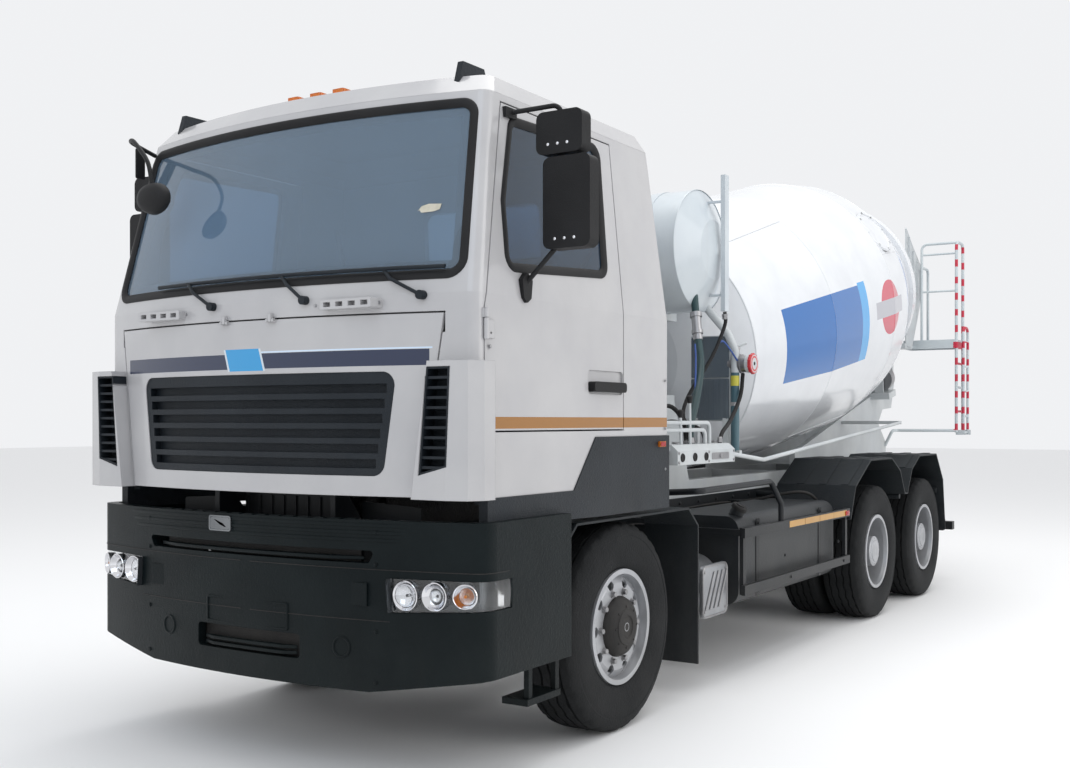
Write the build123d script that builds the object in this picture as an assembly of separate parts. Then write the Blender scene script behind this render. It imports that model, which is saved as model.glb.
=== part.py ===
"""Concrete mixer truck: a six-wheeled chassis with a tilting cab and an inclined mixing drum.

Millimetres. While the pieces are made, x runs to the truck's left, y rearwards from the front
axle and z up from the ground. The finished pieces are moved so that the origin is the middle of
the whole truck, at ground level.
"""
import math
import os

from build123d import *

# ---------------------------------------------------------------- driving dimensions
FRONT_END = -1480.0          # foremost point of the bumper
REAR_END = 7450.0            # rearmost point of the ladder
BODY_HALF = 1250.0           # half the width over bumper and mudguards

WHEEL_R = 538.0              # tyre outside radius
TYRE_W = 312.0
RIM_R = 285.0                # seat of the tyre on its rim
RIM_LIP_R = 298.0
RIM_W = 286.0
TYRE_FIT = 0.3               # tyre bead to rim seat
REAR_AXLE_Y = 4130.0         # wheelbase to the first rear axle
BOGIE = 1400.0               # between the two rear axles
FRONT_WHEEL_X = 1010.0
REAR_WHEEL_X = 1059.0        # outer tyre of a rear pair
TWIN_PITCH = 350.0
KINGPIN_X = 860.0
KINGPIN_R = 25.0
SPINDLE_R = 45.0
SHAFT_FIT = 0.05             # radial clearance of a shaft in its bore
SEAT_FIT = 0.3               # gap left where curved pieces meet

RAIL_X = 425.0               # outer face of a frame rail
RAIL_BOTTOM = 760.0
RAIL_TOP = 1060.0
RAIL_FLANGE = 85.0
RAIL_T = 10.0
RAIL_FRONT = -1150.0
SPRING_X = 345.0             # inner face of the leaf springs
RAIL_REAR = 6900.0
SUBFRAME_FRONT = 560.0
SUBFRAME_TOP = 1180.0

CAB_HALF = 1190.0            # half the cab's width at the belt
CAB_ROOF_HALF = 1100.0
CAB_BOTTOM = 1270.0
CAB_BELT = 2150.0
CAB_EAVES = 3060.0
CAB_TOP = CAB_EAVES + 145
CAB_FRONT = -1460.0          # middle of the front face
CAB_REAR = 430.0
CAB_WALL = 50.0
CAB_CORNER_R = 60.0
SIDE_IN = CAB_HALF - 290     # from well inside the cab's side ...
SIDE_OUT = CAB_HALF + 110    # ... to outside it, for what is cut or kept there
FLOOR_TOP = 1500.0
FLOOR_T = 60.0
TILT_Y = -1340.0             # cab tilt pin
TILT_Z = 1350.0
TILT_PIN_R = 25.0
TILT_X = 380.0
TILT_HEAD_R = 42.0           # the tower's head must pass behind the swinging grille

DOOR_GAP = 7.0               # running gap round a door or the front flap
DOOR_REAR = -56.0
DOOR_BOTTOM = 1560.0
DOOR_TOP = CAB_EAVES - 40
DOOR_FRONT = -1247.0
GLASS_T = 6.0
GLASS_INSET = 10.0
FLAP_TOP = 2063.0
FLAP_BOTTOM = 1274.0
FLAP_TOP_HALF = 1041.0
FLAP_BOTTOM_HALF = 926.0
FLAP_T = 14.0
FLAP_HINGE_X = 150.0
FLAP_HINGE_Y = -1470.0
FLAP_HINGE_Z = 2060.0
FLAP_PIN_R = 4.0
GRILLE_TOP = 1816.0
GRILLE_BOTTOM = 1362.0
GRILLE_TOP_HALF = 821.0
GRILLE_BOTTOM_HALF = 756.0
SKIRT_BOTTOM = 1150.0

BUMPER_TOP = 1172.0
BUMPER_BOTTOM = 427.0
BUMPER_T = 45.0
BUMPER_REAR = -650.0

DRUM_Y = 4500.0              # reference point on the drum's axis
DRUM_Z = 2540.0
DRUM_TILT = 11.5             # degrees, rising to the rear
DRUM_T = 8.0
DRUM_MOUTH_R = 560.0
RING_S = 1815.0              # track ring, along the drum's axis from the reference point
RING_W = 100.0
RING_R = 902.0
ROLLER_R = 125.0
ROLLER_W = 110.0
ROLLER_ANGLE = 30.0          # of each support roller, from straight below the axis
ROLLER_SHAFT_R = 35.0
DRIVE_SHAFT_R = 80.0

TANK_Y = 1555.0
TANK_Z = 2695.0
TANK_R = 390.0
TANK_HALF = 850.0            # half the straight length
INLET_Z = 1974.0             # filling coupling
INLET_R = 58.0

CHUTE_Y = 7100.0             # swivel post of the discharge chute
CHUTE_POST_R = 40.0
CHUTE_POST_BASE = 1110.0     # top of the bracket that carries the post
CHUTE_BRACKET_HALF = 60.0    # narrow, so that the cylinder's foot swings past it
CHUTE_DECK_Z = 1310.0        # underside of the arm's plate
CHUTE_PIVOT_Z = 1500.0       # pin that the chute tips on
CHUTE_PIN_R = 16.0
CHUTE_RISE = 120.0           # trough's centre above that pin
CHUTE_R = 200.0              # half-round trough
CHUTE_T = 8.0
CHUTE_LENGTH = 1080.0
CHUTE_SLOPE = 18.0           # degrees below level at rest
LIFT_FOOT_X = -105.0         # lower pin of the chute's hydraulic cylinder
LIFT_FOOT_Z = 1160.0
LIFT_EYE_X = -540.0          # eye of its rod
LIFT_EYE_Z = 1183.0
LIFT_R = 32.0
LIFT_ROD_R = 18.0
LIFT_PIN_R = 12.0

HOPPER_HALF = 672.0
HOPPER_FRONT = 6790.0
HOPPER_REAR = 7400.0
HOPPER_T = 12.0
SHELF_Z = 2350.0             # top of the posts that carry the hopper
POST_FRONT = 6690.0
POST_REAR = 6780.0
COLLECTOR_Y = 7110.0         # middle of the discharge collector
COLLECTOR_BOTTOM = 2005.0

LADDER_X = 1090.0
LADDER_FRONT = 7150.0
LADDER_FOOT = 1480.0
LADDER_TOP = 3470.0
FOLD_X = 1150.0              # the fold-down section hangs outboard of the fixed ladder
FOLD_TOP = 2576.0
FOLD_FRONT = 7215.0
FOLD_REAR = 7400.0
FOLD_PIN_R = 9.0
RAIL_POST_X = 730.0          # inner post of the platform's hand rail
PLATFORM_Z = 2450.0
PLATFORM_T = 90.0
LADDER_TUBE_R = 16.0

TOW_X = 160.0                # bolt pattern of the rear coupling
TOW_Z = 100.0
TOW_CENTRE_Z = 910.0
TOW_HOLE_R = 10.5

LAMP_INNER = 815.0           # headlamp recess in the bumper
LAMP_BOTTOM = 777.0
LAMP_TOP = 926.0

FIREWALL_Y = -1190.0
HINGE_X = CAB_HALF + 12.0    # door hinge line
HINGE_Y = DOOR_FRONT - 4.0
HINGE_R = 11.0
HINGE_PIN_R = 6.0
HINGE_HEIGHTS = (1640.0, 1950.0)

MIRROR_X = 1350.0            # upright tube of a door mirror
MIRROR_Y = -893.0
MIRROR_TUBE_R = 11.0

GUARD_TOP = 1289.0           # sheet line of the rear mudguards
GUARD_X = 1240.0             # outer face of the side guards
GUARD_FRONT = 1373.0
GUARD_REAR = 3340.0

CENTRE_Y = (FRONT_END + REAR_END) / 2
REAR_AXLES_Y = (REAR_AXLE_Y, REAR_AXLE_Y + BOGIE)
NODES = {}


# ---------------------------------------------------------------- helpers
def block(x0, x1, y0, y1, z0, z1):
    """A box between two corners."""
    return Pos((x0 + x1) / 2, (y0 + y1) / 2, (z0 + z1) / 2) * Box(x1 - x0, y1 - y0, z1 - z0)


def side_face(points, corner=0.0):
    """A face in the y-z plane, its corners rounded."""
    face = make_face(Plane.YZ * Polyline(*points, close=True))
    return fillet(face.vertices(), corner) if corner else face


def side_plate(points, x0, x1, corner=0.0):
    """An outline of (y, z) points, from x0 to x1."""
    return Pos(x0, 0, 0) * extrude(side_face(points, corner), x1 - x0, dir=(1, 0, 0))


def front_plate(points, y0, y1, corner=0.0):
    """An outline of (x, z) points, from y0 to y1."""
    face = make_face(Plane.XZ * Polyline(*points, close=True))
    if corner:
        face = fillet(face.vertices(), corner)
    return Pos(0, y0, 0) * extrude(face, y1 - y0, dir=(0, 1, 0))


def plan_plate(points, z0, z1, corner=0.0):
    """An outline of (x, y) points, from z0 to z1."""
    face = make_face(Polyline(*points, close=True))
    if corner:
        face = fillet(face.vertices(), corner)
    return Pos(0, 0, z0) * extrude(face, z1 - z0, dir=(0, 0, 1))


def rod(start, end, radius):
    """A round bar between two points."""
    start, end = Vector(start), Vector(end)
    return Plane(start, z_dir=end - start) * Cylinder(
        radius, (end - start).length, align=(Align.CENTER, Align.CENTER, Align.MIN)
    )


def tube(points, radius, bend):
    """A round bar along straight runs joined by arcs."""
    path = FilletPolyline(*points, radius=bend)
    return sweep(Plane(path @ 0, z_dir=path % 0) * Circle(radius), path)


def turned(profile):
    """A ring about the x axis from (x, r) points."""
    face = make_face(Plane.XZ * Polyline(*profile, close=True))
    return revolve(face, Axis.X)


def turned_y(profile):
    """A ring about the y axis from (y, r) points."""
    face = make_face(Plane.YZ * Polyline(*profile, close=True))
    return revolve(face, Axis.Y)


def band(points, thickness, x0, x1):
    """A bent sheet along (y, z) points, from x0 to x1."""
    left, right = [], []
    for k, (y, z) in enumerate(points):
        before = points[max(k - 1, 0)]
        after = points[min(k + 1, len(points) - 1)]
        into = Vector(y - before[0], z - before[1]) if k else Vector(after[0] - y, after[1] - z)
        out = Vector(after[0] - y, after[1] - z) if k < len(points) - 1 else into
        into, out = into.normalized(), out.normalized()
        middle = (into + out).normalized()
        reach = thickness / 2 / max(middle.dot(into), 0.3)
        left.append((y - middle.Y * reach, z + middle.X * reach))
        right.append((y + middle.Y * reach, z - middle.X * reach))
    return side_plate(left + right[::-1], x0, x1)


def mirrored(shape):
    """The same piece on the truck's other side."""
    return mirror(shape, about=Plane.YZ)


def both(shape):
    return [shape, mirrored(shape)]


def joined(*pieces):
    """One body of all the pieces."""
    result = None
    for piece in pieces:
        for item in piece if isinstance(piece, (list, tuple)) else [piece]:
            if result is None:
                result = item
                continue
            whole = result + item
            if whole.volume < max(result.volume, item.volume) - 1:
                raise ValueError("a piece was lost in a union")
            result = whole
    return result


def keep(name, *pieces):
    """Record a node; it may hold several solids."""
    solids = []
    for piece in pieces:
        for item in piece if isinstance(piece, (list, tuple)) else [piece]:
            solids.extend(item.solids())
    NODES[name] = solids


# ---------------------------------------------------------------- chassis
def chassis():
    inner_x = RAIL_X - RAIL_T
    profile = [
        (RAIL_X - RAIL_FLANGE, RAIL_BOTTOM),
        (RAIL_X, RAIL_BOTTOM),
        (RAIL_X, RAIL_TOP),
        (RAIL_X - RAIL_FLANGE, RAIL_TOP),
        (RAIL_X - RAIL_FLANGE, RAIL_TOP - RAIL_T),
        (inner_x, RAIL_TOP - RAIL_T),
        (inner_x, RAIL_BOTTOM + RAIL_T),
        (RAIL_X - RAIL_FLANGE, RAIL_BOTTOM + RAIL_T),
    ]
    rail = front_plate(profile, RAIL_FRONT, RAIL_REAR)
    # (y, width along the truck, bottom, top) of each crossmember
    members = [
        (RAIL_FRONT + 40, 80, RAIL_BOTTOM, RAIL_TOP),
        (1300, 60, RAIL_BOTTOM + 130, RAIL_TOP - 40),
        (2500, 60, RAIL_BOTTOM + 60, RAIL_TOP - 40),
        (3420, 60, RAIL_BOTTOM + 60, RAIL_TOP - 40),
        (REAR_AXLE_Y + BOGIE / 2, 240, RAIL_BOTTOM + 20, RAIL_TOP - 20),
        (6200, 60, RAIL_BOTTOM + 60, RAIL_TOP - 40),
        (RAIL_REAR - 10, 20, RAIL_BOTTOM, RAIL_TOP),
    ]
    cross = [block(-inner_x - 2, inner_x + 2, y - w / 2, y + w / 2, z0, z1) for y, w, z0, z1 in members]
    frame = joined(rail, mirrored(rail), cross)
    hole = [
        rod((sx * TOW_X / 2, RAIL_REAR + 5, TOW_CENTRE_Z + sz * TOW_Z / 2),
            (sx * TOW_X / 2, RAIL_REAR - 30, TOW_CENTRE_Z + sz * TOW_Z / 2), TOW_HOLE_R)
        for sx in (-1, 1) for sz in (-1, 1)
    ]
    for cut in hole:
        frame -= cut
    # towers that reach forward to the cab's tilt pins, so that the flap's foot swings down before them
    heel = RAIL_FRONT + 80
    tower = block(TILT_X - 15, TILT_X + 15, TILT_Y + 30, heel, RAIL_TOP - 60, RAIL_TOP + 60)
    tower += side_plate([(TILT_Y + 30, RAIL_TOP), (heel, RAIL_TOP), (TILT_Y + 20, TILT_Z + 38), (TILT_Y, TILT_Z + 40),
                         (TILT_Y, TILT_Z - 40), (TILT_Y + 30, TILT_Z - 60)], TILT_X - 15, TILT_X + 15)
    tower += rod((TILT_X - 15, TILT_Y, TILT_Z), (TILT_X + 15, TILT_Y, TILT_Z), TILT_HEAD_R)
    pin = rod((TILT_X - 70, TILT_Y, TILT_Z), (TILT_X + 70, TILT_Y, TILT_Z), TILT_PIN_R)
    frame = joined(frame, both(tower), both(pin))
    keep("chassis_frame", frame)


def engine():
    block_top = 1240.0
    unit = block(-300, 300, -850, 350, 640, block_top)
    gearbox = block(-200, 200, 350, 1150, 680, 1020)
    mounts = both(block(300, RAIL_X - RAIL_T - SEAT_FIT, -500, -380, 850, 930))
    radiator = block(-RAIL_X + RAIL_FLANGE + 5, RAIL_X - RAIL_FLANGE - 5, -1030, -950, 700, 1235)
    feet = both(block(300, 330, RAIL_FRONT + 80 + SEAT_FIT, -1030, 800, 860))
    keep("engine", joined(unit, gearbox, mounts), joined(radiator, feet))


def axles():
    boss = rod((KINGPIN_X, 0, WHEEL_R - 50), (KINGPIN_X, 0, WHEEL_R + 50), 55)
    beam = front_plate(
        [(-KINGPIN_X, WHEEL_R - 45), (-700, WHEEL_R - 60), (-560, 405), (560, 405), (700, WHEEL_R - 60),
         (KINGPIN_X, WHEEL_R - 45), (KINGPIN_X, WHEEL_R + 45), (700, WHEEL_R + 45), (560, 500),
         (-560, 500), (-700, WHEEL_R + 45), (-KINGPIN_X, WHEEL_R + 45)], -50, 50)
    beam = joined(beam, both(boss))
    for side in (-1, 1):
        beam -= rod((side * KINGPIN_X, 0, 300), (side * KINGPIN_X, 0, 800), KINGPIN_R + SHAFT_FIT)

    # leaf packs: hung from the rail at the front, rocking on a middle trunnion over the bogie
    end_z = RAIL_BOTTOM - 60
    low = WHEEL_R - 38
    spring = side_plate(
        [(-780, end_z), (-750, end_z), (-150, low + 70), (150, low + 70), (750, end_z), (780, end_z),
         (780, end_z - 25), (180, low), (-180, low), (-780, end_z - 25)], SPRING_X, RAIL_X)
    hangers = [block(SPRING_X, RAIL_X, side * 755 - 45, side * 755 + 45, end_z, RAIL_BOTTOM) for side in (-1, 1)]
    front_spring = joined(spring, hangers)
    middle = REAR_AXLE_Y + BOGIE / 2
    seat = WHEEL_R + 100
    rear_spring = side_plate(
        [(REAR_AXLE_Y - 40, seat), (REAR_AXLE_Y + 40, seat), (middle - 150, seat + 37), (middle + 150, seat + 37),
         (REAR_AXLE_Y + BOGIE - 40, seat), (REAR_AXLE_Y + BOGIE + 40, seat), (REAR_AXLE_Y + BOGIE + 40, seat + 30),
         (middle + 180, seat + 107), (middle - 180, seat + 107), (REAR_AXLE_Y - 40, seat + 30)], SPRING_X, RAIL_X)
    rear_spring += block(SPRING_X, RAIL_X, middle - 90, middle + 90, seat + 60, RAIL_BOTTOM)

    keep("front_axle", beam, both(front_spring))
    rear = []
    for y in REAR_AXLES_Y:
        house = rod((-560, y, WHEEL_R), (560, y, WHEEL_R), 75)
        bowl = Pos(0, y, WHEEL_R) * Sphere(215)
        nose = rod((0, y - 320, WHEEL_R + 40), (0, y, WHEEL_R + 40), 90)
        spindles = both(rod((540, y, WHEEL_R), (REAR_WHEEL_X + 80, y, WHEEL_R), SPINDLE_R))
        pads = both(block(SPRING_X, RAIL_X, y - 60, y + 60, WHEEL_R + 40, seat))
        rear.append(joined(house, bowl, nose, spindles, pads))
    shaft = rod((0, 1150, 800), (0, 1190, 800), 60) + rod((0, 1175, 800), (0, REAR_AXLE_Y - 300, WHEEL_R + 40), 45)
    link = rod((0, REAR_AXLE_Y + 150, WHEEL_R + 40), (0, REAR_AXLE_Y + BOGIE - 300, WHEEL_R + 40), 45)
    keep("rear_axles", joined(rear, shaft, link, both(rear_spring)))


def knuckles():
    """Each knuckle holds the kingpin and the stub that the front wheel turns on."""
    for name, side in (("left", 1), ("right", -1)):
        x = KINGPIN_X
        fork = [block(x - 45, x + 45, -50, 50, WHEEL_R + z, WHEEL_R + z + 40) for z in (-92, 52)]
        pin = rod((x, 0, WHEEL_R - 92), (x, 0, WHEEL_R + 92), KINGPIN_R)
        back = block(x + 60, x + 90, -70, 70, WHEEL_R - 92, WHEEL_R + 92)
        webs = [block(x + 40, x + 70, -50, 50, WHEEL_R + z, WHEEL_R + z + 40) for z in (-92, 52)]
        stub = rod((x + 80, 0, WHEEL_R), (FRONT_WHEEL_X + 120, 0, WHEEL_R), SPINDLE_R)
        arm = block(x - 30, x + 30, -220, -40, WHEEL_R - 92, WHEEL_R - 62)
        piece = joined(fork, pin, back, webs, stub, arm)
        keep(f"knuckle_{name}", piece if side > 0 else mirrored(piece))


# ---------------------------------------------------------------- wheels
def tyre():
    half = TYRE_W / 2
    seat = RIM_R + TYRE_FIT
    return turned([
        (-124, seat), (-126, 306), (-half + 8, 360), (-half, 430), (-half + 8, 500), (-132, 526), (-96, WHEEL_R),
        (96, WHEEL_R), (132, 526), (half - 8, 500), (half, 430), (half - 8, 360), (126, 306), (124, seat),
    ])


def rim(disc_x, hub_r, dish):
    """A rim with its disc's flat at disc_x, dished by dish, with ten hand holes."""
    half = RIM_W / 2
    barrel = turned([
        (-half, 270), (-half, RIM_LIP_R), (-half + 16, RIM_LIP_R), (-half + 16, RIM_R), (half - 16, RIM_R),
        (half - 16, RIM_LIP_R), (half, RIM_LIP_R), (half, 272), (half - 30, 268), (-half + 30, 268),
    ])
    disc = turned([(disc_x - 14, hub_r), (disc_x, hub_r), (disc_x, 225), (disc_x + dish, 272),
                   (disc_x + dish - 14, 272), (disc_x - 14, 225)])
    whole = barrel + disc
    for k in range(10):
        turn = math.radians(36 * k)
        y, z = 228 * math.cos(turn), 228 * math.sin(turn)
        whole -= rod((disc_x - 20, y, z), (disc_x + 20, y, z), 27)
    return whole


def wheels():
    half = RIM_W / 2
    # front: hub on the knuckle's stub
    disc_x = half - 25
    hub = turned([(-60, SPINDLE_R + SHAFT_FIT), (-60, 110), (60, 110), (60, 155), (disc_x + 2, 155),
                  (disc_x + 2, 145), (150, 140), (168, 90), (172, 0), (128, 0), (128, SPINDLE_R + SHAFT_FIT)])
    front_rim = rim(disc_x, 150, -25) + hub
    front_tyre = tyre()
    for name, side in (("left", 1), ("right", -1)):
        place = Pos(FRONT_WHEEL_X, 0, WHEEL_R)
        for node, shape in ((f"tyre_front_{name}", front_tyre), (f"rim_front_{name}", front_rim)):
            piece = place * shape
            keep(node, piece if side > 0 else mirrored(piece))
    # rear pairs: two rims back to back on one hub
    middle = REAR_WHEEL_X - TWIN_PITCH / 2
    outer = Pos(TWIN_PITCH / 2, 0, 0) * rim(-TWIN_PITCH / 2 + 15, 150, 55)
    inner = mirrored(outer)
    inboard = 590 - middle
    hub = turned([(inboard, SPINDLE_R + SHAFT_FIT), (inboard, 200), (inboard + 100, 200), (-17, 155), (17, 155),
                  (17, 145), (160, 130), (285, 120), (300, 80), (304, 0), (262, 0), (262, SPINDLE_R + SHAFT_FIT)])
    pair_rim = joined(outer, inner, hub)
    pair_tyres = [Pos(s * TWIN_PITCH / 2, 0, 0) * tyre() for s in (-1, 1)]
    for number, y in enumerate(REAR_AXLES_Y, 1):
        place = Pos(middle, y, WHEEL_R)
        for name, side in (("left", 1), ("right", -1)):
            tyres = [place * t for t in pair_tyres]
            piece = place * pair_rim
            keep(f"tyres_rear{number}_{name}", tyres if side > 0 else [mirrored(t) for t in tyres])
            keep(f"rims_rear{number}_{name}", piece if side > 0 else mirrored(piece))


# ---------------------------------------------------------------- front end
def bow(half, middle, end, back, corner):
    """A plan outline: straight back and sides, a bowed front and rounded front corners."""
    outline = make_face(
        Polyline((-half, end), (-half, back), (half, back), (half, end))
        + ThreePointArc((half, end), (0, middle), (-half, end))
    )
    front = outline.vertices().sort_by(Axis.Y)[:2]
    return fillet(front, corner)


def bumper():
    end = -1310.0
    outer = bow(BODY_HALF, FRONT_END, end, BUMPER_REAR, 90)
    inner = bow(BODY_HALF - BUMPER_T, FRONT_END + BUMPER_T, end + BUMPER_T, BUMPER_REAR + 10, 50)
    height = BUMPER_TOP - BUMPER_BOTTOM
    shell = Pos(0, 0, BUMPER_BOTTOM) * (extrude(outer, height) - extrude(inner, height))
    # lower edge rises towards the ends
    for side in (-1, 1):
        shell -= front_plate([(side * 700, BUMPER_BOTTOM - 10), (side * 700, BUMPER_BOTTOM),
                              (side * 1300, 515), (side * 1300, BUMPER_BOTTOM - 10)], -1600, -600)
    lamp = front_plate([(LAMP_INNER, LAMP_BOTTOM), (LAMP_INNER - 12, LAMP_TOP), (1400, LAMP_TOP),
                        (1400, LAMP_BOTTOM + 30)], -1600, -1130)
    slot = front_plate([(-330, 540), (330, 540), (330, 650), (-330, 650)], -1600, -1300, 20)
    upper = front_plate([(-700, 985), (700, 985), (730, 1040), (-730, 1040)], -1600, -1300, 15)
    shell = shell - lamp - mirrored(lamp) - slot - upper
    # brackets to the frame
    bracket = block(RAIL_X - 60, RAIL_X - 30, -1440, RAIL_FRONT, 800, 900)
    tie = block(-700, 700, -1440, -1400, 800, 900)
    step = plan_plate([(1100, -965), (1195, -965), (1195, -690), (1100, -690)], 760, 790)
    tread = block(1075, 1215, -961, -690, 330, 360)
    hangers = [block(1180, 1206, y, y + 30, 350, 770) for y in (-940, -720)]
    shell = joined(shell, tie, both(bracket), both(step), both(joined(tread, hangers)))
    keep("front_bumper", shell)
    # headlamps fill the recesses
    lamp_body = Pos(0, 0, LAMP_BOTTOM) * (
        extrude(bow(BODY_HALF - 6, FRONT_END + 6, end + 6, BUMPER_REAR, 84), LAMP_TOP - LAMP_BOTTOM)
        - extrude(bow(BODY_HALF - 80, FRONT_END + 80, end + 80, BUMPER_REAR + 10, 20), LAMP_TOP - LAMP_BOTTOM))
    cut = front_plate([(LAMP_INNER + SEAT_FIT, LAMP_BOTTOM + SEAT_FIT), (LAMP_INNER - 12 + SEAT_FIT, LAMP_TOP - SEAT_FIT),
                       (1400, LAMP_TOP - SEAT_FIT), (1400, LAMP_BOTTOM + 30 + SEAT_FIT)], -1600, -1130 - SEAT_FIT)
    keep("headlamps", both(lamp_body & cut))


# ---------------------------------------------------------------- cab
# (height, half width, front middle, front end, rear) of the cab's sections
CAB_SECTIONS = [
    (CAB_BOTTOM, CAB_HALF, CAB_FRONT, CAB_FRONT + 160, CAB_REAR),
    (CAB_BELT, CAB_HALF, CAB_FRONT, CAB_FRONT + 160, CAB_REAR),
    (CAB_EAVES, CAB_ROOF_HALF, CAB_FRONT + 215, CAB_FRONT + 360, CAB_REAR - 80),
]
ROOF_SECTIONS = [
    (CAB_EAVES, CAB_ROOF_HALF, CAB_FRONT + 215, CAB_FRONT + 360, CAB_REAR - 80),
    (CAB_EAVES + 90, CAB_ROOF_HALF - 50, CAB_FRONT + 290, CAB_FRONT + 430, CAB_REAR - 120),
    (CAB_TOP, CAB_ROOF_HALF - 220, CAB_FRONT + 520, CAB_FRONT + 620, CAB_REAR - 300),
]


def lofted(sections, inset=0.0, stretch=0.0):
    """The solid through bowed plan sections, drawn in by inset; its ends may be stretched."""
    faces = []
    for index, (z, half, middle, end, back) in enumerate(sections):
        height = z
        if index == 0:
            height -= stretch
        if index == len(sections) - 1:
            height += stretch
        corner = max(CAB_CORNER_R - inset, 12)
        face = bow(half - inset, middle + inset, end + inset, back - inset, corner)
        faces.append(Pos(0, 0, height) * face)
    return loft(faces, ruled=True)


DOOR_OUTLINE = [
    (DOOR_FRONT, DOOR_BOTTOM), (DOOR_FRONT, 2089), (-1009, DOOR_TOP), (DOOR_REAR, DOOR_TOP),
    (DOOR_REAR, DOOR_BOTTOM),
]
DOOR_WINDOW = [(-1061, 2272), (-1058, CAB_EAVES - 488), (-944, CAB_EAVES - 100), (-174, CAB_EAVES - 75), (-200, 2330)]
SCREEN_TOP = CAB_EAVES - 48
SCREEN = [(-1117, 2225), (-1052, SCREEN_TOP), (1052, SCREEN_TOP), (1117, 2225)]
REAR_WINDOW = [(-420, 2450), (420, 2450), (420, CAB_EAVES - 210), (-420, CAB_EAVES - 210)]
FLAP_OUTLINE = [(-FLAP_TOP_HALF, FLAP_TOP), (FLAP_TOP_HALF, FLAP_TOP), (FLAP_BOTTOM_HALF, FLAP_BOTTOM),
                (-FLAP_BOTTOM_HALF, FLAP_BOTTOM)]
GRILLE_OUTLINE = [(-GRILLE_TOP_HALF, GRILLE_TOP), (GRILLE_TOP_HALF, GRILLE_TOP),
                  (GRILLE_BOTTOM_HALF, GRILLE_BOTTOM), (-GRILLE_BOTTOM_HALF, GRILLE_BOTTOM)]
ARCH_LINE = [(-538, CAB_BOTTOM), (-335, 1523)]


def grown(points, by):
    """The outline with its edges moved outwards."""
    face = make_face(Polyline(*points, close=True))
    return offset(face, amount=by, kind=Kind.INTERSECTION)


def side_prism(points, by, x0, x1, corner=0.0):
    face = grown(points, by) if by else make_face(Polyline(*points, close=True))
    if corner:
        face = fillet(face.vertices(), corner)
    return Pos(x0, 0, 0) * extrude(Plane.YZ * face, x1 - x0, dir=(1, 0, 0))


def front_prism(points, by, y0, y1, corner=0.0):
    face = grown(points, by) if by else make_face(Polyline(*points, close=True))
    if corner:
        face = fillet(face.vertices(), corner)
    return Pos(0, y0, 0) * extrude(Plane.XZ * face, y1 - y0, dir=(0, 1, 0))


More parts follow.
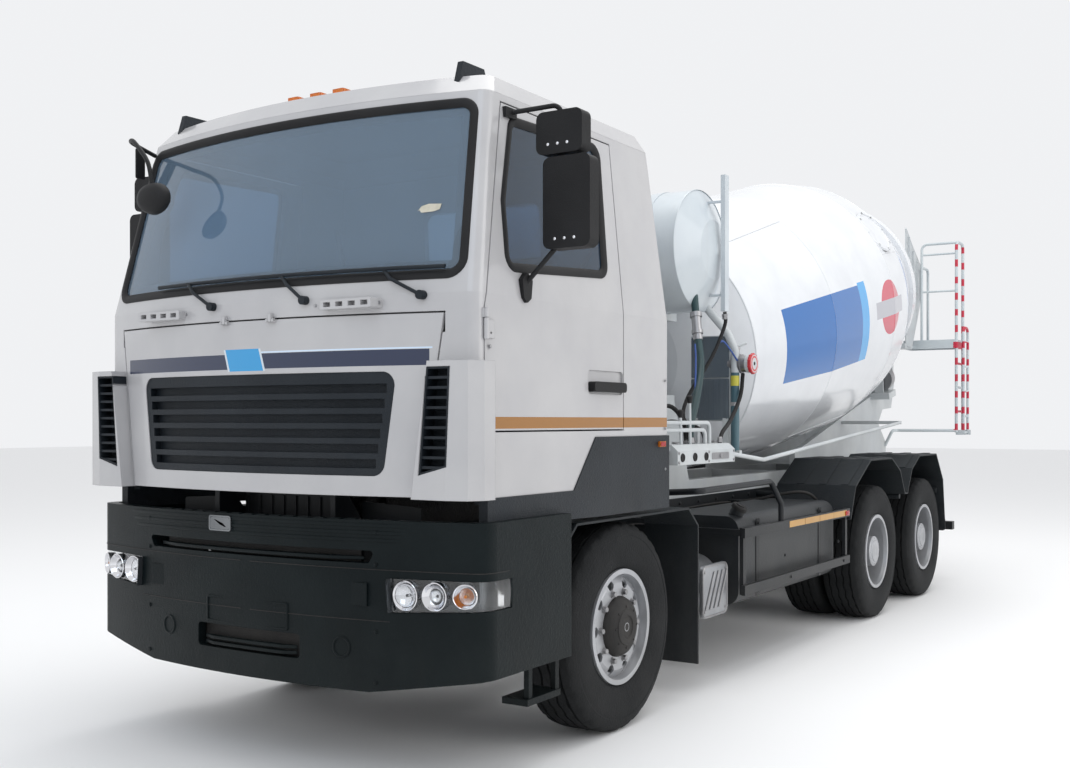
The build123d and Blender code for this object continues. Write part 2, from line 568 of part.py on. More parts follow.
def cab():
    outer = lofted(CAB_SECTIONS)
    inner = lofted(CAB_SECTIONS, CAB_WALL, 10)
    shell = outer - inner
    room = lofted(CAB_SECTIONS, CAB_WALL - 10)

    # floor, firewall behind the flap and the shelf under the windscreen
    floor = room & block(-1300, 1300, -1600, 600, FLOOR_TOP - FLOOR_T, FLOOR_TOP)
    floor -= block(-1300, 1300, -1600, FIREWALL_Y - 10, FLOOR_TOP - FLOOR_T - 10, FLOOR_TOP + 10)
    firewall = room & block(-1300, 1300, FIREWALL_Y - 30, FIREWALL_Y, FLOOR_TOP - FLOOR_T, FLAP_TOP + 60)
    shelf = room & block(-1300, 1300, -1600, FIREWALL_Y, FLAP_TOP + 30, FLAP_TOP + 60)
    shell = joined(shell, floor, firewall, shelf)

    # openings: doors, windscreen, front flap, rear window and the arch line of each side
    for side in (-1, 1):
        x0, x1 = (SIDE_IN, SIDE_OUT) if side > 0 else (-SIDE_OUT, -SIDE_IN)
        shell -= side_prism(DOOR_OUTLINE, DOOR_GAP, x0, x1)
        shell -= side_plate([(ARCH_LINE[0][0], CAB_BOTTOM - 50), ARCH_LINE[0], ARCH_LINE[1],
                             (600, ARCH_LINE[1][1]), (600, CAB_BOTTOM - 50)],
                            CAB_HALF - 90 if side > 0 else -SIDE_OUT, SIDE_OUT if side > 0 else 90 - CAB_HALF)
    shell -= front_prism(SCREEN, 0, -1700, -950, 70)
    shell -= front_prism(FLAP_OUTLINE, DOOR_GAP, -1700, FIREWALL_Y - 60)
    notch = front_plate([(FLAP_TOP_HALF - 60, FLAP_TOP + DOOR_GAP), (FLAP_TOP_HALF + 7, FLAP_TOP + DOOR_GAP),
                         (FLAP_TOP_HALF + 7, FLAP_TOP - 82), (FLAP_TOP_HALF - 60, FLAP_TOP - 97)],
                        -1700, FIREWALL_Y - 60)
    shell = shell - notch - mirrored(notch)
    shell -= front_prism(REAR_WINDOW, 0, 200, 600, 60)

    # lugs on the tilt pins
    lug = side_plate([(TILT_Y - 38, FLOOR_TOP - FLOOR_T + 5), (TILT_Y + 260, FLOOR_TOP - FLOOR_T + 5),
                      (TILT_Y + 40, TILT_Z - 40), (TILT_Y - 38, TILT_Z - 40)], TILT_X + 22, TILT_X + 52)
    lug += block(TILT_X + 22, TILT_X + 52, TILT_Y - 38, FIREWALL_Y - 20, FLOOR_TOP - FLOOR_T, FLOOR_TOP)
    inner_lug = Pos(-74, 0, 0) * lug
    lugs = joined(lug, inner_lug)
    hole = rod((TILT_X - 100, TILT_Y, TILT_Z), (TILT_X + 100, TILT_Y, TILT_Z), TILT_PIN_R + SHAFT_FIT)
    lugs -= hole
    # cab halves of the door hinges, and the two grab boxes below the windscreen
    knuckles_cab = [rod((HINGE_X, HINGE_Y, z + 92), (HINGE_X, HINGE_Y, z + 132), HINGE_R)
                    + block(CAB_HALF - 20, HINGE_X, HINGE_Y - 14, HINGE_Y - 2, z + 92, z + 132)
                    for z in HINGE_HEIGHTS]
    grab = front_plate([(458, 2090), (754, 2090), (754, 2134), (458, 2134)], -1475, -1390, 8)
    for x in (480, 552, 624, 696):
        grab -= block(x, x + 40, -1480, -1440, 2102, 2122)
    flap_lug = joined(block(FLAP_HINGE_X - 10, FLAP_HINGE_X + 10, -1478, -1440, FLAP_TOP + 9, FLAP_TOP + 27),
                      block(FLAP_HINGE_X - 10, FLAP_HINGE_X + 10, -1478, -1463, FLAP_HINGE_Z - 8, FLAP_TOP + 12),
                      rod((FLAP_HINGE_X - 24, FLAP_HINGE_Y, FLAP_HINGE_Z),
                          (FLAP_HINGE_X + 24, FLAP_HINGE_Y, FLAP_HINGE_Z), FLAP_PIN_R))
    shell = joined(shell, both(lugs), both(knuckles_cab[0]), both(knuckles_cab[1]), both(grab), both(flap_lug))
    for z in HINGE_HEIGHTS:
        for side in (-1, 1):
            shell -= rod((side * HINGE_X, HINGE_Y, z + 80), (side * HINGE_X, HINGE_Y, z + 140), HINGE_PIN_R + SHAFT_FIT)
    keep("cab_shell", shell)

    # doors: the same wall, cut to the door's outline, with the window cut
    wall = outer - inner
    glass_skin = lofted(CAB_SECTIONS, GLASS_INSET) - lofted(CAB_SECTIONS, GLASS_INSET + GLASS_T, 10)
    door = wall & side_prism(DOOR_OUTLINE, 0, SIDE_IN, SIDE_OUT)
    door -= side_prism(DOOR_WINDOW, 0, SIDE_IN, SIDE_OUT, 60)
    leaves = [block(CAB_HALF - 20, HINGE_X, HINGE_Y + 4, HINGE_Y + 60, z + 5, z + 85) for z in HINGE_HEIGHTS]
    barrels = [rod((HINGE_X, HINGE_Y, z), (HINGE_X, HINGE_Y, z + 90), HINGE_R) for z in HINGE_HEIGHTS]
    pins = [rod((HINGE_X, HINGE_Y, z + 45), (HINGE_X, HINGE_Y, z + 134), HINGE_PIN_R) for z in HINGE_HEIGHTS]
    # shallow recess round the handle
    recess = side_plate([(-400, 1735), (-60, 1735), (-60, 1850), (-400, 1850)], CAB_HALF - 12, CAB_HALF + 10, 20)
    door = joined(door - recess, leaves, barrels, pins)
    keep("door_left", door)
    keep("door_right", mirrored(door))
    pane = glass_skin & side_prism(DOOR_WINDOW, -SEAT_FIT, SIDE_IN, SIDE_OUT, 60)
    keep("door_glass_left", pane)
    keep("door_glass_right", mirrored(pane))
    screen = glass_skin & front_prism(SCREEN, -SEAT_FIT, -1700, -950, 70)
    back = glass_skin & front_prism(REAR_WINDOW, -SEAT_FIT, 200, 600, 60)
    keep("cab_glass", screen, back)

    # front flap with the grille in it
    flap_skin = lofted(CAB_SECTIONS) - lofted(CAB_SECTIONS, FLAP_T, 10)
    flap = flap_skin & front_prism(FLAP_OUTLINE, 0, -1700, -1250)
    flap -= front_prism(GRILLE_OUTLINE, 0, -1700, -1200, 60)
    eyes = [block(FLAP_HINGE_X + side * 19 - 6, FLAP_HINGE_X + side * 19 + 6, -1478, -1446, FLAP_HINGE_Z - 9,
                  FLAP_HINGE_Z + 3) + rod((FLAP_HINGE_X + side * 19 - 6, FLAP_HINGE_Y, FLAP_HINGE_Z),
                                          (FLAP_HINGE_X + side * 19 + 6, FLAP_HINGE_Y, FLAP_HINGE_Z), 8)
            for side in (-1, 1)]
    flap = joined(flap, both(eyes[0]), both(eyes[1]))
    for side in (-1, 1):
        flap -= rod((side * (FLAP_HINGE_X - 30), FLAP_HINGE_Y, FLAP_HINGE_Z),
                    (side * (FLAP_HINGE_X + 30), FLAP_HINGE_Y, FLAP_HINGE_Z), FLAP_PIN_R + SHAFT_FIT)
    keep("front_flap", flap)
    grille_skin = lofted(CAB_SECTIONS, 4) - lofted(CAB_SECTIONS, 50, 10)
    grille = grille_skin & front_prism(GRILLE_OUTLINE, -SEAT_FIT, -1700, -1200, 60)
    slots = lofted(CAB_SECTIONS, -5) - lofted(CAB_SECTIONS, 36, 10)
    rows = 6
    pitch = (GRILLE_TOP - GRILLE_BOTTOM - 60) / rows
    for k in range(rows):
        z = GRILLE_BOTTOM + 34 + k * pitch
        half = GRILLE_BOTTOM_HALF - 40 + (GRILLE_TOP_HALF - GRILLE_BOTTOM_HALF) * k / rows
        grille -= slots & block(-half, half, -1700, -1200, z, z + pitch - 26)
    keep("grille", grille)

    # roof
    roof = lofted(ROOF_SECTIONS) - Pos(0, 0, -0.001) * lofted(
        [(z - (0 if k == 0 else 40), half - 45, mid + 45, end + 45, back - 45)
         for k, (z, half, mid, end, back) in enumerate(ROOF_SECTIONS)])
    keep("cab_roof", roof)


def front_y(x, z):
    """The cab's front face at a point across and up."""
    for low, high in zip(CAB_SECTIONS, CAB_SECTIONS[1:]):
        if z <= high[0]:
            part = (z - low[0]) / (high[0] - low[0])
            half, middle, end = (a + (b - a) * part for a, b in zip(low[1:4], high[1:4]))
            sag = end - middle
            radius = (half * half + sag * sag) / (2 * sag)
            return middle + radius - math.sqrt(radius * radius - x * x)
    return CAB_SECTIONS[-1][2]


def outside(piece):
    """What of a piece stands clear of the cab's skin."""
    rest = piece - lofted(CAB_SECTIONS, -SEAT_FIT, 2)
    return max(rest.solids(), key=lambda solid: solid.volume)


VENT_OUTLINE = [(1017, 1830), (1139, 1830), (1124, 1410), (975, 1371)]


def cab_trim():
    """Black arches, vents, wipers and roof fins; corner fairings; marker lamps."""
    skirt = side_plate([(-1235, SKIRT_BOTTOM), (-1235, CAB_BOTTOM), ARCH_LINE[0], ARCH_LINE[1],
                        (446, ARCH_LINE[1][1]), (446, 1130), (-300, 1130)], 1150, 1196)
    tie = block(1100, 1160, -1200, -1000, CAB_BOTTOM - 30, CAB_BOTTOM)

    body = lofted(CAB_SECTIONS, -SEAT_FIT, 20)
    seam_top = FLAP_BOTTOM_HALF + (FLAP_TOP_HALF - FLAP_BOTTOM_HALF) * (1855 - FLAP_BOTTOM) / (FLAP_TOP - FLAP_BOTTOM)
    fairing = plan_plate([(900, -1380), (900, -1432), (1120, -1428), (1215, -1400), (1258, -1340), (1262, -1270),
                          (1100, -1270)], 1270, 1855)
    fairing = fairing & front_plate([(seam_top + 12, 1855), (1300, 1855), (1300, 1270),
                                     (FLAP_BOTTOM_HALF + 12, 1270)], -1600, -1200)
    pocket = front_plate(VENT_OUTLINE, -1600, -1345)
    fairing = fairing - body - pocket
    keep("corner_fairings", both(max(fairing.solids(), key=lambda solid: solid.volume)))

    frame = front_prism(VENT_OUTLINE, -SEAT_FIT, -1425, -1345)
    vent = frame - front_prism(VENT_OUTLINE, -9, -1430, -1355)
    slats = [block(950, 1160, -1420, -1350, z, z + 12) & frame for z in range(1400, 1825, 42)]
    vent = joined(vent, slats) - body

    wipers = []
    for pivot, near, far in ((-239, -700, -60), (349, -60, 560), (947, 560, 1040)):
        boss = outside(rod((pivot, front_y(pivot, 2140) + 20, 2140), (pivot, front_y(pivot, 2140) - 30, 2140), 20))
        middle = (near + far) / 2
        reach = [(x, front_y(x, 2262) - 16, 2262) for x in (near, middle, far)]
        blade = tube(reach, 9, 500)
        arm = tube([(pivot, front_y(pivot, 2140) - 20, 2140), (middle, front_y(middle, 2200) - 26, 2215),
                    (middle - 60, front_y(middle, 2262) - 16, 2262)], 8, 15)
        wipers.append(joined(boss, blade, arm))
    fin = side_plate([(-1090, CAB_TOP - 85), (-1060, CAB_TOP + 15), (-900, CAB_TOP + 17), (-860, CAB_TOP - 85)], 903, 933)
    fin -= lofted(ROOF_SECTIONS, -SEAT_FIT)
    fin = max(fin.solids(), key=lambda solid: solid.volume)
    keep("cab_trim", both(skirt + tie), both(vent), wipers, both(fin))

    roof_lamps = []
    for x in (-150, 0, 150):
        lamp = fillet(block(x - 38, x + 38, -1035, -975, CAB_TOP - 55, CAB_TOP + 11).edges().filter_by(Axis.Z), 12)
        lamp -= lofted(ROOF_SECTIONS, -SEAT_FIT)
        roof_lamps.append(max(lamp.solids(), key=lambda solid: solid.volume))
    marker = block(1196, 1208, 315, 385, 1462, 1492)
    keep("cab_lamps", roof_lamps, both(marker))


def mirrors():
    """Door mirrors on their tube with the door handle; on the right a front mirror arm too."""
    head_low = front_plate([(MIRROR_X - 71, 2362), (MIRROR_X + 173, 2362), (MIRROR_X + 173, 2767),
                            (MIRROR_X - 71, 2767)], MIRROR_Y - 42, MIRROR_Y + 34, 35)
    head_high = front_plate([(MIRROR_X - 107, 2781), (MIRROR_X + 132, 2781), (MIRROR_X + 132, 2970),
                             (MIRROR_X - 107, 2970)], MIRROR_Y - 42, MIRROR_Y + 34, 35)
    # hollows for the mirror glass
    head_low -= front_plate([(MIRROR_X - 59, 2374), (MIRROR_X + 161, 2374), (MIRROR_X + 161, 2755),
                             (MIRROR_X - 59, 2755)], MIRROR_Y + 28, MIRROR_Y + 40, 28)
    head_high -= front_plate([(MIRROR_X - 95, 2793), (MIRROR_X + 120, 2793), (MIRROR_X + 120, 2958),
                              (MIRROR_X - 95, 2958)], MIRROR_Y + 28, MIRROR_Y + 40, 28)
    upright = tube([(1080, -955, 2985), (MIRROR_X, MIRROR_Y, 3005), (MIRROR_X, MIRROR_Y, 2400),
                    (1180, -945, 2200)], MIRROR_TUBE_R, 40)
    top_plate = block(1060, 1126, -1000, -915, 2960, 3005)
    foot = side_plate([(-985, 2230), (-947, 2266), (-905, 2230), (-915, 2150), (-947, 2127), (-975, 2150)],
                      1150, 1206, 8)
    mirror_set = outside(joined(head_low, head_high, upright, top_plate, foot))
    handle = side_plate([(-384, 1745), (-68, 1745), (-68, 1795), (-384, 1795)], CAB_HALF - 12, CAB_HALF + 30, 18)
    handle -= block(CAB_HALF - 13, CAB_HALF + 12, -350, -100, 1740, 1800)
    keep("mirror_left", mirror_set, handle)
    keep("mirror_right", mirrored(mirror_set), mirrored(handle))


def cab_inside():
    dash = side_plate([(FIREWALL_Y, FLAP_TOP - 160), (FIREWALL_Y, 2150), (-1060, 2190), (-960, 2130), (-900, 1900),
                       (-980, 1820)], -1050, 1050)
    column = rod((450, -960, 1960), (450, -800, 2080), 30)
    wheel_plane = Plane((450, -780, 2095), z_dir=(0, 160, 120))
    wheel = wheel_plane * Torus(215, 16) + wheel_plane * Pos(0, 0, -20) * Cylinder(45, 50)
    spokes = [wheel_plane * Rot(0, 0, a) * Box(215, 30, 14, align=(Align.MIN, Align.CENTER, Align.CENTER))
              for a in (0, 120, 240)]
    interior = [joined(dash, column, wheel, spokes)]
    seats = []
    for side in (-1, 1):
        x = side * 560
        base = block(x - 200, x + 200, -500, -80, FLOOR_TOP, 1780)
        interior.append(base)
        cushion = fillet(block(x - 240, x + 240, -560, -60, 1780, 1900).edges(), 35)
        back = Pos(x, -25, 2180) * Rot(-12, 0, 0) * fillet(Box(480, 130, 640).edges(), 35)
        seats.append(cushion + back)
    keep("cab_interior", interior)
    keep("seats", seats)


# ---------------------------------------------------------------- drum and its drive
def on_axis(s, drop=0.0):
    """A point s along the drum's axis, drop below it."""
    turn = math.radians(DRUM_TILT)
    y = DRUM_Y + s * math.cos(turn) + drop * math.sin(turn)
    z = DRUM_Z + s * math.sin(turn) - drop * math.cos(turn)
    return y, z


def drum_place():
    return Location((0, DRUM_Y, DRUM_Z), (DRUM_TILT, 0, 0))


# (along the axis, radius) of the drum's outside
DRUM_PROFILE = [(-2500, 260), (-2480, 420), (-2420, 600), (-2200, 900), (-1000, 1070), (300, 1150), (800, 1120),
                (RING_S, 845), (2450, DRUM_MOUTH_R)]


def drum():
    inside = [(s + (12 if k < 4 else 0), r - DRUM_T - (6 if k < 4 else 2)) for k, (s, r) in enumerate(DRUM_PROFILE)]
    section = [(-2500, 0)] + DRUM_PROFILE + [(2450, inside[-1][1])] + inside[-2::-1] + [(-2488, 0)]
    shell = turned_y(section)
    flange = turned_y([(-2530, 0), (-2530, 250), (-2500, 250), (-2500, 0)])
    stub = turned_y([(-2640, 0), (-2640, DRIVE_SHAFT_R), (-2530, DRIVE_SHAFT_R), (-2530, 0)])
    ring = turned_y([(RING_S - RING_W / 2, 838), (RING_S - RING_W / 2, RING_R), (RING_S + RING_W / 2, RING_R),
                     (RING_S + RING_W / 2, 815), (RING_S, 840)])
    keep("drum", drum_place() * joined(shell, flange, stub, ring))


def rollers():
    """Two rollers under the track ring, each turning on a fixed shaft."""
    reach = RING_R + ROLLER_R + SEAT_FIT
    across = reach * math.sin(math.radians(ROLLER_ANGLE))
    down = reach * math.cos(math.radians(ROLLER_ANGLE))
    for name, side in (("left", 1), ("right", -1)):
        roller = turned_y([(-ROLLER_W / 2, ROLLER_SHAFT_R + SHAFT_FIT), (-ROLLER_W / 2, ROLLER_R),
                           (ROLLER_W / 2, ROLLER_R), (ROLLER_W / 2, ROLLER_SHAFT_R + SHAFT_FIT)])
        keep(f"roller_{name}", drum_place() * Pos(side * across, RING_S, -down) * roller)
    fork = []
    for s in (-1, 1):
        cheek = block(across - 45, across + 45, s * 85 - 12, s * 85 + 12, -60, 45)
        fork.append(cheek)
    shaft = rod((across, -97, 0), (across, 97, 0), ROLLER_SHAFT_R)
    base = block(across - 60, across + 60, -110, 110, -190, -ROLLER_R - 12)
    sides = [block(across - 45, across + 45, s * 85 - 12, s * 85 + 12, -190, 0) for s in (-1, 1)]
    stand = joined(fork, shaft, base, sides)
    return [drum_place() * Pos(0, RING_S, -down) * p for p in both(stand)]


def mixer_frame():
    """The subframe with its front pedestal and the rear gussets that carry the rollers."""
    beam = block(RAIL_X - 80, RAIL_X, SUBFRAME_FRONT, RAIL_REAR, RAIL_TOP, SUBFRAME_TOP)
    cross = [block(-RAIL_X + 40, RAIL_X - 40, y - 40, y + 40, RAIL_TOP + 10, SUBFRAME_TOP - 10)
             for y in (900, 2600, 4300, 5800, RAIL_REAR - 40)]
    front_leg = side_plate([(1350, SUBFRAME_TOP), (2250, SUBFRAME_TOP), (2020, 1740), (1600, 1740)],
                           RAIL_X - 50, RAIL_X)
    deck = block(-RAIL_X, RAIL_X, 1600, 2020, 1740, 1780)
    spine = [(4300, SUBFRAME_TOP), (4300, 1330), (6560, 1890), (7220, 2068), (7090, 1740), (6790, 1720), (6640, 1580)]
    gusset = side_plate(spine + [(RAIL_REAR, 1371), (RAIL_REAR, SUBFRAME_TOP)], RAIL_X - 50, RAIL_X)
    # on the right the chute passes behind, so the plate stops short
    short = side_plate(spine + [(POST_REAR, 1230), (RAIL_REAR, 1230), (RAIL_REAR, SUBFRAME_TOP)], -RAIL_X, 50 - RAIL_X)
    rollers_at = drum_place() * block(-620, 620, RING_S - 110, RING_S + 110, -1085, -1022)
    window = drum_place() * block(-1000, 1000, RING_S - 140, RING_S + 140, -1022, 0)
    posts = block(RAIL_X - 45, RAIL_X, POST_FRONT, POST_REAR, 1800, SHELF_Z)
    strut = block(RAIL_X - 33, RAIL_X, 7120, 7170, 2020, SHELF_Z)
    whole = joined(beam, mirrored(beam), cross, both(front_leg), deck, gusset - window, short - window,
                   rollers_at, rollers(), both(tank_stand()), both(posts), both(strut))
    keep("mixer_frame", whole)
    # bracket on the last crossmember, with the post that the chute swivels on
    bracket_bottom = CHUTE_POST_BASE - 40
    bracket = block(-CHUTE_BRACKET_HALF, CHUTE_BRACKET_HALF, RAIL_REAR, CHUTE_Y, bracket_bottom, CHUTE_POST_BASE)
    bracket += rod((0, CHUTE_Y, bracket_bottom), (0, CHUTE_Y, CHUTE_POST_BASE), CHUTE_BRACKET_HALF)
    bracket += block(-CHUTE_BRACKET_HALF, CHUTE_BRACKET_HALF, RAIL_REAR, RAIL_REAR + 15, bracket_bottom, SUBFRAME_TOP - 10)
    bracket += rod((0, CHUTE_Y, CHUTE_POST_BASE - 20), (0, CHUTE_Y, CHUTE_DECK_Z - 5), CHUTE_POST_R)
    keep("chute_stand", bracket)


def gearbox():
    y0, z0 = on_axis(-2700)
    case = block(-230, 230, y0 - 190, y0 + 60, 1780, z0 + 200)
    case += drum_place() * turned_y([(-2740, 0), (-2740, 150), (-2580, 150), (-2580, 0)])
    bore = DRIVE_SHAFT_R + SHAFT_FIT
    case -= drum_place() * turned_y([(-2645, 0), (-2645, bore), (-2400, bore), (-2400, 0)])
    keep("drum_gearbox", case)


def tank_profile(extra=0.0):
    """Half section of the tank, (x, r)."""
    return [(-TANK_HALF - 120 - extra, 0), (-TANK_HALF - 95 - extra, 190), (-TANK_HALF - extra, TANK_R + extra),
            (TANK_HALF + extra, TANK_R + extra), (TANK_HALF + 95 + extra, 190), (TANK_HALF + 120 + extra, 0)]


def water():
    tank = Pos(0, TANK_Y, TANK_Z) * turned(tank_profile())
    gauge = front_plate([(985, 2302), (1015, 2302), (1015, 3173), (985, 3173)], TANK_Y + 15, TANK_Y + 75)
    arms = [block(TANK_HALF - 30, 1000, TANK_Y + 30, TANK_Y + 50, z, z + 14) for z in (2400, 3000)]
    keep("water_tank", joined(tank, gauge, arms))


def tank_stand():
    """A post and saddle on each side of the subframe."""
    post = block(RAIL_X, RAIL_X + 80, TANK_Y - 60, TANK_Y + 60, SUBFRAME_TOP - 60, TANK_Z - 200)
    saddle = block(RAIL_X - 10, RAIL_X + 100, TANK_Y - 300, TANK_Y + 300, TANK_Z - 420, TANK_Z - 200)
    cut = rod((-1300, TANK_Y, TANK_Z), (1300, TANK_Y, TANK_Z), TANK_R + SEAT_FIT)
    return joined(post, saddle) - cut


# ---------------------------------------------------------------- body along the chassis
def mudguards():
    """Front arches with their flaps, and one ridged guard over both rear wheels of each side."""
    front = band([(-640, 760), (-640, 980), (-500, 1105), (700, 1105), (822, 1000), (822, 203)], 12, 840, 1190)
    stays = [block(RAIL_X + SEAT_FIT, 860, y - 15, y + 15, 1000, 1030) for y in (-634 + 21, 801)]
    front = joined(front, stays[1], block(RAIL_X + SEAT_FIT, 860, -634, -604, 900, 930))
    first, last = REAR_AXLES_Y
    valley = (first + last) / 2
    profile = [
        (first - 770, 853), (first - 650, 1100), (first - 280, GUARD_TOP), (first + 280, GUARD_TOP),
        (valley - 180, 1180), (valley - 40, 975), (valley + 40, 975), (valley + 180, 1180),
        (last - 280, GUARD_TOP), (last + 280, GUARD_TOP), (last + 520, 1040), (last + 608, 559),
    ]
    rear = band(profile, 12, 600, GUARD_X)
    ridges = [band([(y, z + 6) for y, z in profile[1:5]], 12, x, x + 60) for x in (760, 940, 1120)]
    ridges += [band([(y, z + 6) for y, z in profile[7:11]], 12, x, x + 60) for x in (760, 940, 1120)]
    arms = [rod((RAIL_X + SEAT_FIT, y, z), (1180, y, z), 24)
            for y, z in ((first - 656, 1020), (valley, 948), (last + 500, 940))]
    rear = joined(rear, ridges, arms)
    keep("mudguards", both(front), both(rear))


def side_guards():
    plank = block(GUARD_X - 25, GUARD_X, GUARD_FRONT, GUARD_REAR, 880, 941)
    rail = block(GUARD_X - 25, GUARD_X, GUARD_FRONT, GUARD_REAR, 528, 588)
    posts = [block(GUARD_X - 45, GUARD_X - 20, y - 20, y + 20, 528, 941) for y in (GUARD_FRONT + 40, GUARD_REAR - 30)]
    arms = [block(RAIL_X + SEAT_FIT, GUARD_X - 30, y - 20, y + 20, 890, 930)
            for y in (GUARD_FRONT + 40, GUARD_REAR - 30)]
    left = joined(plank, rail, posts, arms)
    hoop = tube([(RAIL_X + SEAT_FIT, 930, 1150), (RAIL_X + 120, 930, 1150), (GUARD_X - 90, 930, 1190), (GUARD_X - 90, 2000, 1200),
                 (GUARD_X - 32, 2040, 1050), (GUARD_X - 32, 2040, 930)], 19, 40)
    keep("side_guards", left + hoop, mirrored(left))


def side_tanks():
    """Fuel tank on the left; batteries and two air tanks on the right."""
    tank = front_plate([(500, 440), (1140, 440), (1140, 1000), (500, 1000)], 1500, 3250, 90)
    straps = [block(RAIL_X + SEAT_FIT, 520, y - 30, y + 30, 820, 1000) for y in (1800, 2950)]
    filler = rod((1050, 1640, 990), (1080, 1640, 1040), 45)
    battery = block(-1120, -500, 1480, 2200, 480, 980)
    battery += block(-520, -RAIL_X - SEAT_FIT, 1600, 2080, 820, 940)
    lid = block(-1135, -485, 1465, 2215, 940, 1000)
    drums = [joined(rod((-860, 2320, z), (-860, 3200, z), 130),
                    [block(-870, -RAIL_X - SEAT_FIT, y - 25, y + 25, z - 20, z + 20) for y in (2450, 3070)])
             for z in (560, 870)]
    hanger = block(-RAIL_X - 40, -RAIL_X - SEAT_FIT, 2425, 3095, 540, 890)
    keep("side_tanks", joined(tank, straps, filler), battery + lid, joined(drums, hanger))


def exhaust():
    drum_x, drum_z = 880, 600
    silencer = rod((drum_x, 900, drum_z), (drum_x, 1400, drum_z), 170)
    hangers = [block(RAIL_X + SEAT_FIT, drum_x - 60, y - 20, y + 20, 780, 800) for y in (1000, 1300)]
    drops = [block(drum_x - 90, drum_x - 50, y - 20, y + 20, 720, 800) for y in (1000, 1300)]
    outlet = rod((drum_x, 1130, drum_z), (1135, 1130, drum_z), 45)
    shield = side_plate([(959, 431), (1311, 431), (1311, 745), (959, 745)], 1130, 1150, 45)
    slots = [side_plate([(y, 480), (y + 14, 480), (y + 134, 700), (y + 120, 700)], 1120, 1160)
             for y in (985, 1045, 1105, 1165)]
    for slot in slots:
        shield -= slot
    keep("exhaust", joined(silencer, hangers, drops, outlet, shield))


def rear_bumper():
    bar = block(-1200, 1200, 6560, 6640, 520, 600)
    drops = both(block(RAIL_X + SEAT_FIT, RAIL_X + 40, 6540, 6660, 560, RAIL_TOP - 20))
    keep("rear_bumper", joined(bar, drops))
    clusters = both(block(700, 1100, 6640 + SEAT_FIT, 6700, 500, 620))
    markers = both(block(GUARD_X, GUARD_X + 9, 3230, 3310, 890, 925))
    keep("rear_lamps", clusters, markers)


def controls():
    """Drum lever box behind the cab on the left, its rails and the rod to the rear."""
    box = front_plate([(1040, 1350), (1150, 1350), (1150, 1430), (1110, 1465), (1040, 1465)], 640, 1420)
    arms = [block(RAIL_X - 40, 1050, y - 20, y + 20, 1350, 1385) for y in (720, 1240)]
    feet = [block(RAIL_X - 60, RAIL_X - 20, y - 20, y + 20, SUBFRAME_TOP, 1385) for y in (720, 1240)]
    levers = [joined(rod((1095, y, 1455), (1095, y - 10, top), 9), Pos(1095, y - 10, top) * Sphere(16))
              for y, top in ((910, 1735), (790, 1650))]
    rails = [tube([(1090, 480, z), (1090, y, z), (1090, y, 1440)], 12, 40) for y, z in ((1180, 1591), (1120, 1548))]
    ends = block(1078, 1102, 500, 520, 1440, 1600)
    shelf = block(1040, 1102, 480, 660, 1430, 1455)
    lever_rod = tube([(1120, 1400, 1400), (1120, 1950, 1345), (1000, 5400, 1580), (980, 5520, 1586)], 14, 60)
    holder = block(RAIL_X, 990, 5500, 5540, 1570, 1600)
    keep("controls", joined(box, arms, feet, levers, rails, ends, shelf, lever_rod, holder))


def water_inlet():
    """Filling pipe with its capped coupling, from the bracket up to the tank's belly."""
    pipe = tube([(1000, 1760, 1400), (1000, 1760, 2060), (960, 1720, 2180), (800, 1620, 2400)], 26, 60)
    body = joined(rod((955, 1800, INLET_Z), (1075, 1800, INLET_Z), 52), rod((1000, 1760, INLET_Z), (1000, 1800, INLET_Z), 40))
    coupling = rod((1070, 1800, INLET_Z), (1120, 1800, INLET_Z), INLET_R)
    handle = tube([(1000, 1800, 2020), (1000, 1800, 2090), (1050, 1830, 2110)], 9, 15)
    bracket = block(RAIL_X, 1040, 1740, 1780, 1385, 1410)
    panel = block(685, 969, 1752, 1760, 1600, 2161) + block(700, 740, 1740, 1776, 1400, 1620)
    panel += block(920, 960, 1740, 1776, 1400, 1620)
    whole = joined(pipe, body, coupling, handle, bracket, panel)
    whole -= Pos(0, TANK_Y, TANK_Z) * turned(tank_profile(SEAT_FIT))
    keep("water_inlet", max(whole.solids(), key=lambda solid: solid.volume))


def hoses():
    """Hoses held at both ends, from the tank and its gauge to the valves behind the cab."""
    runs = [
        (24, [(1020, 1060, 1465.3), (1020, 1060, 1580), (1000, 1200, 1760), (960, 1330, 1960), (900, 1400, 2150),
              (860, 1440, 2440)]),
        (12, [(1000, 1600, 2301), (1000, 1600, 2200), (960, 1480, 2000), (900, 1250, 1750), (930, 1150, 1600),
              (1075, 1150, 1530), (1075, 1150, 1465.3)]),
    ]
    pieces = []
    for radius, points in runs:
        hose = tube(points, radius, 45) - Pos(0, TANK_Y, TANK_Z) * turned(tank_profile(SEAT_FIT))
        pieces.append(max(hose.solids(), key=lambda solid: solid.volume))
    keep("hoses", pieces)


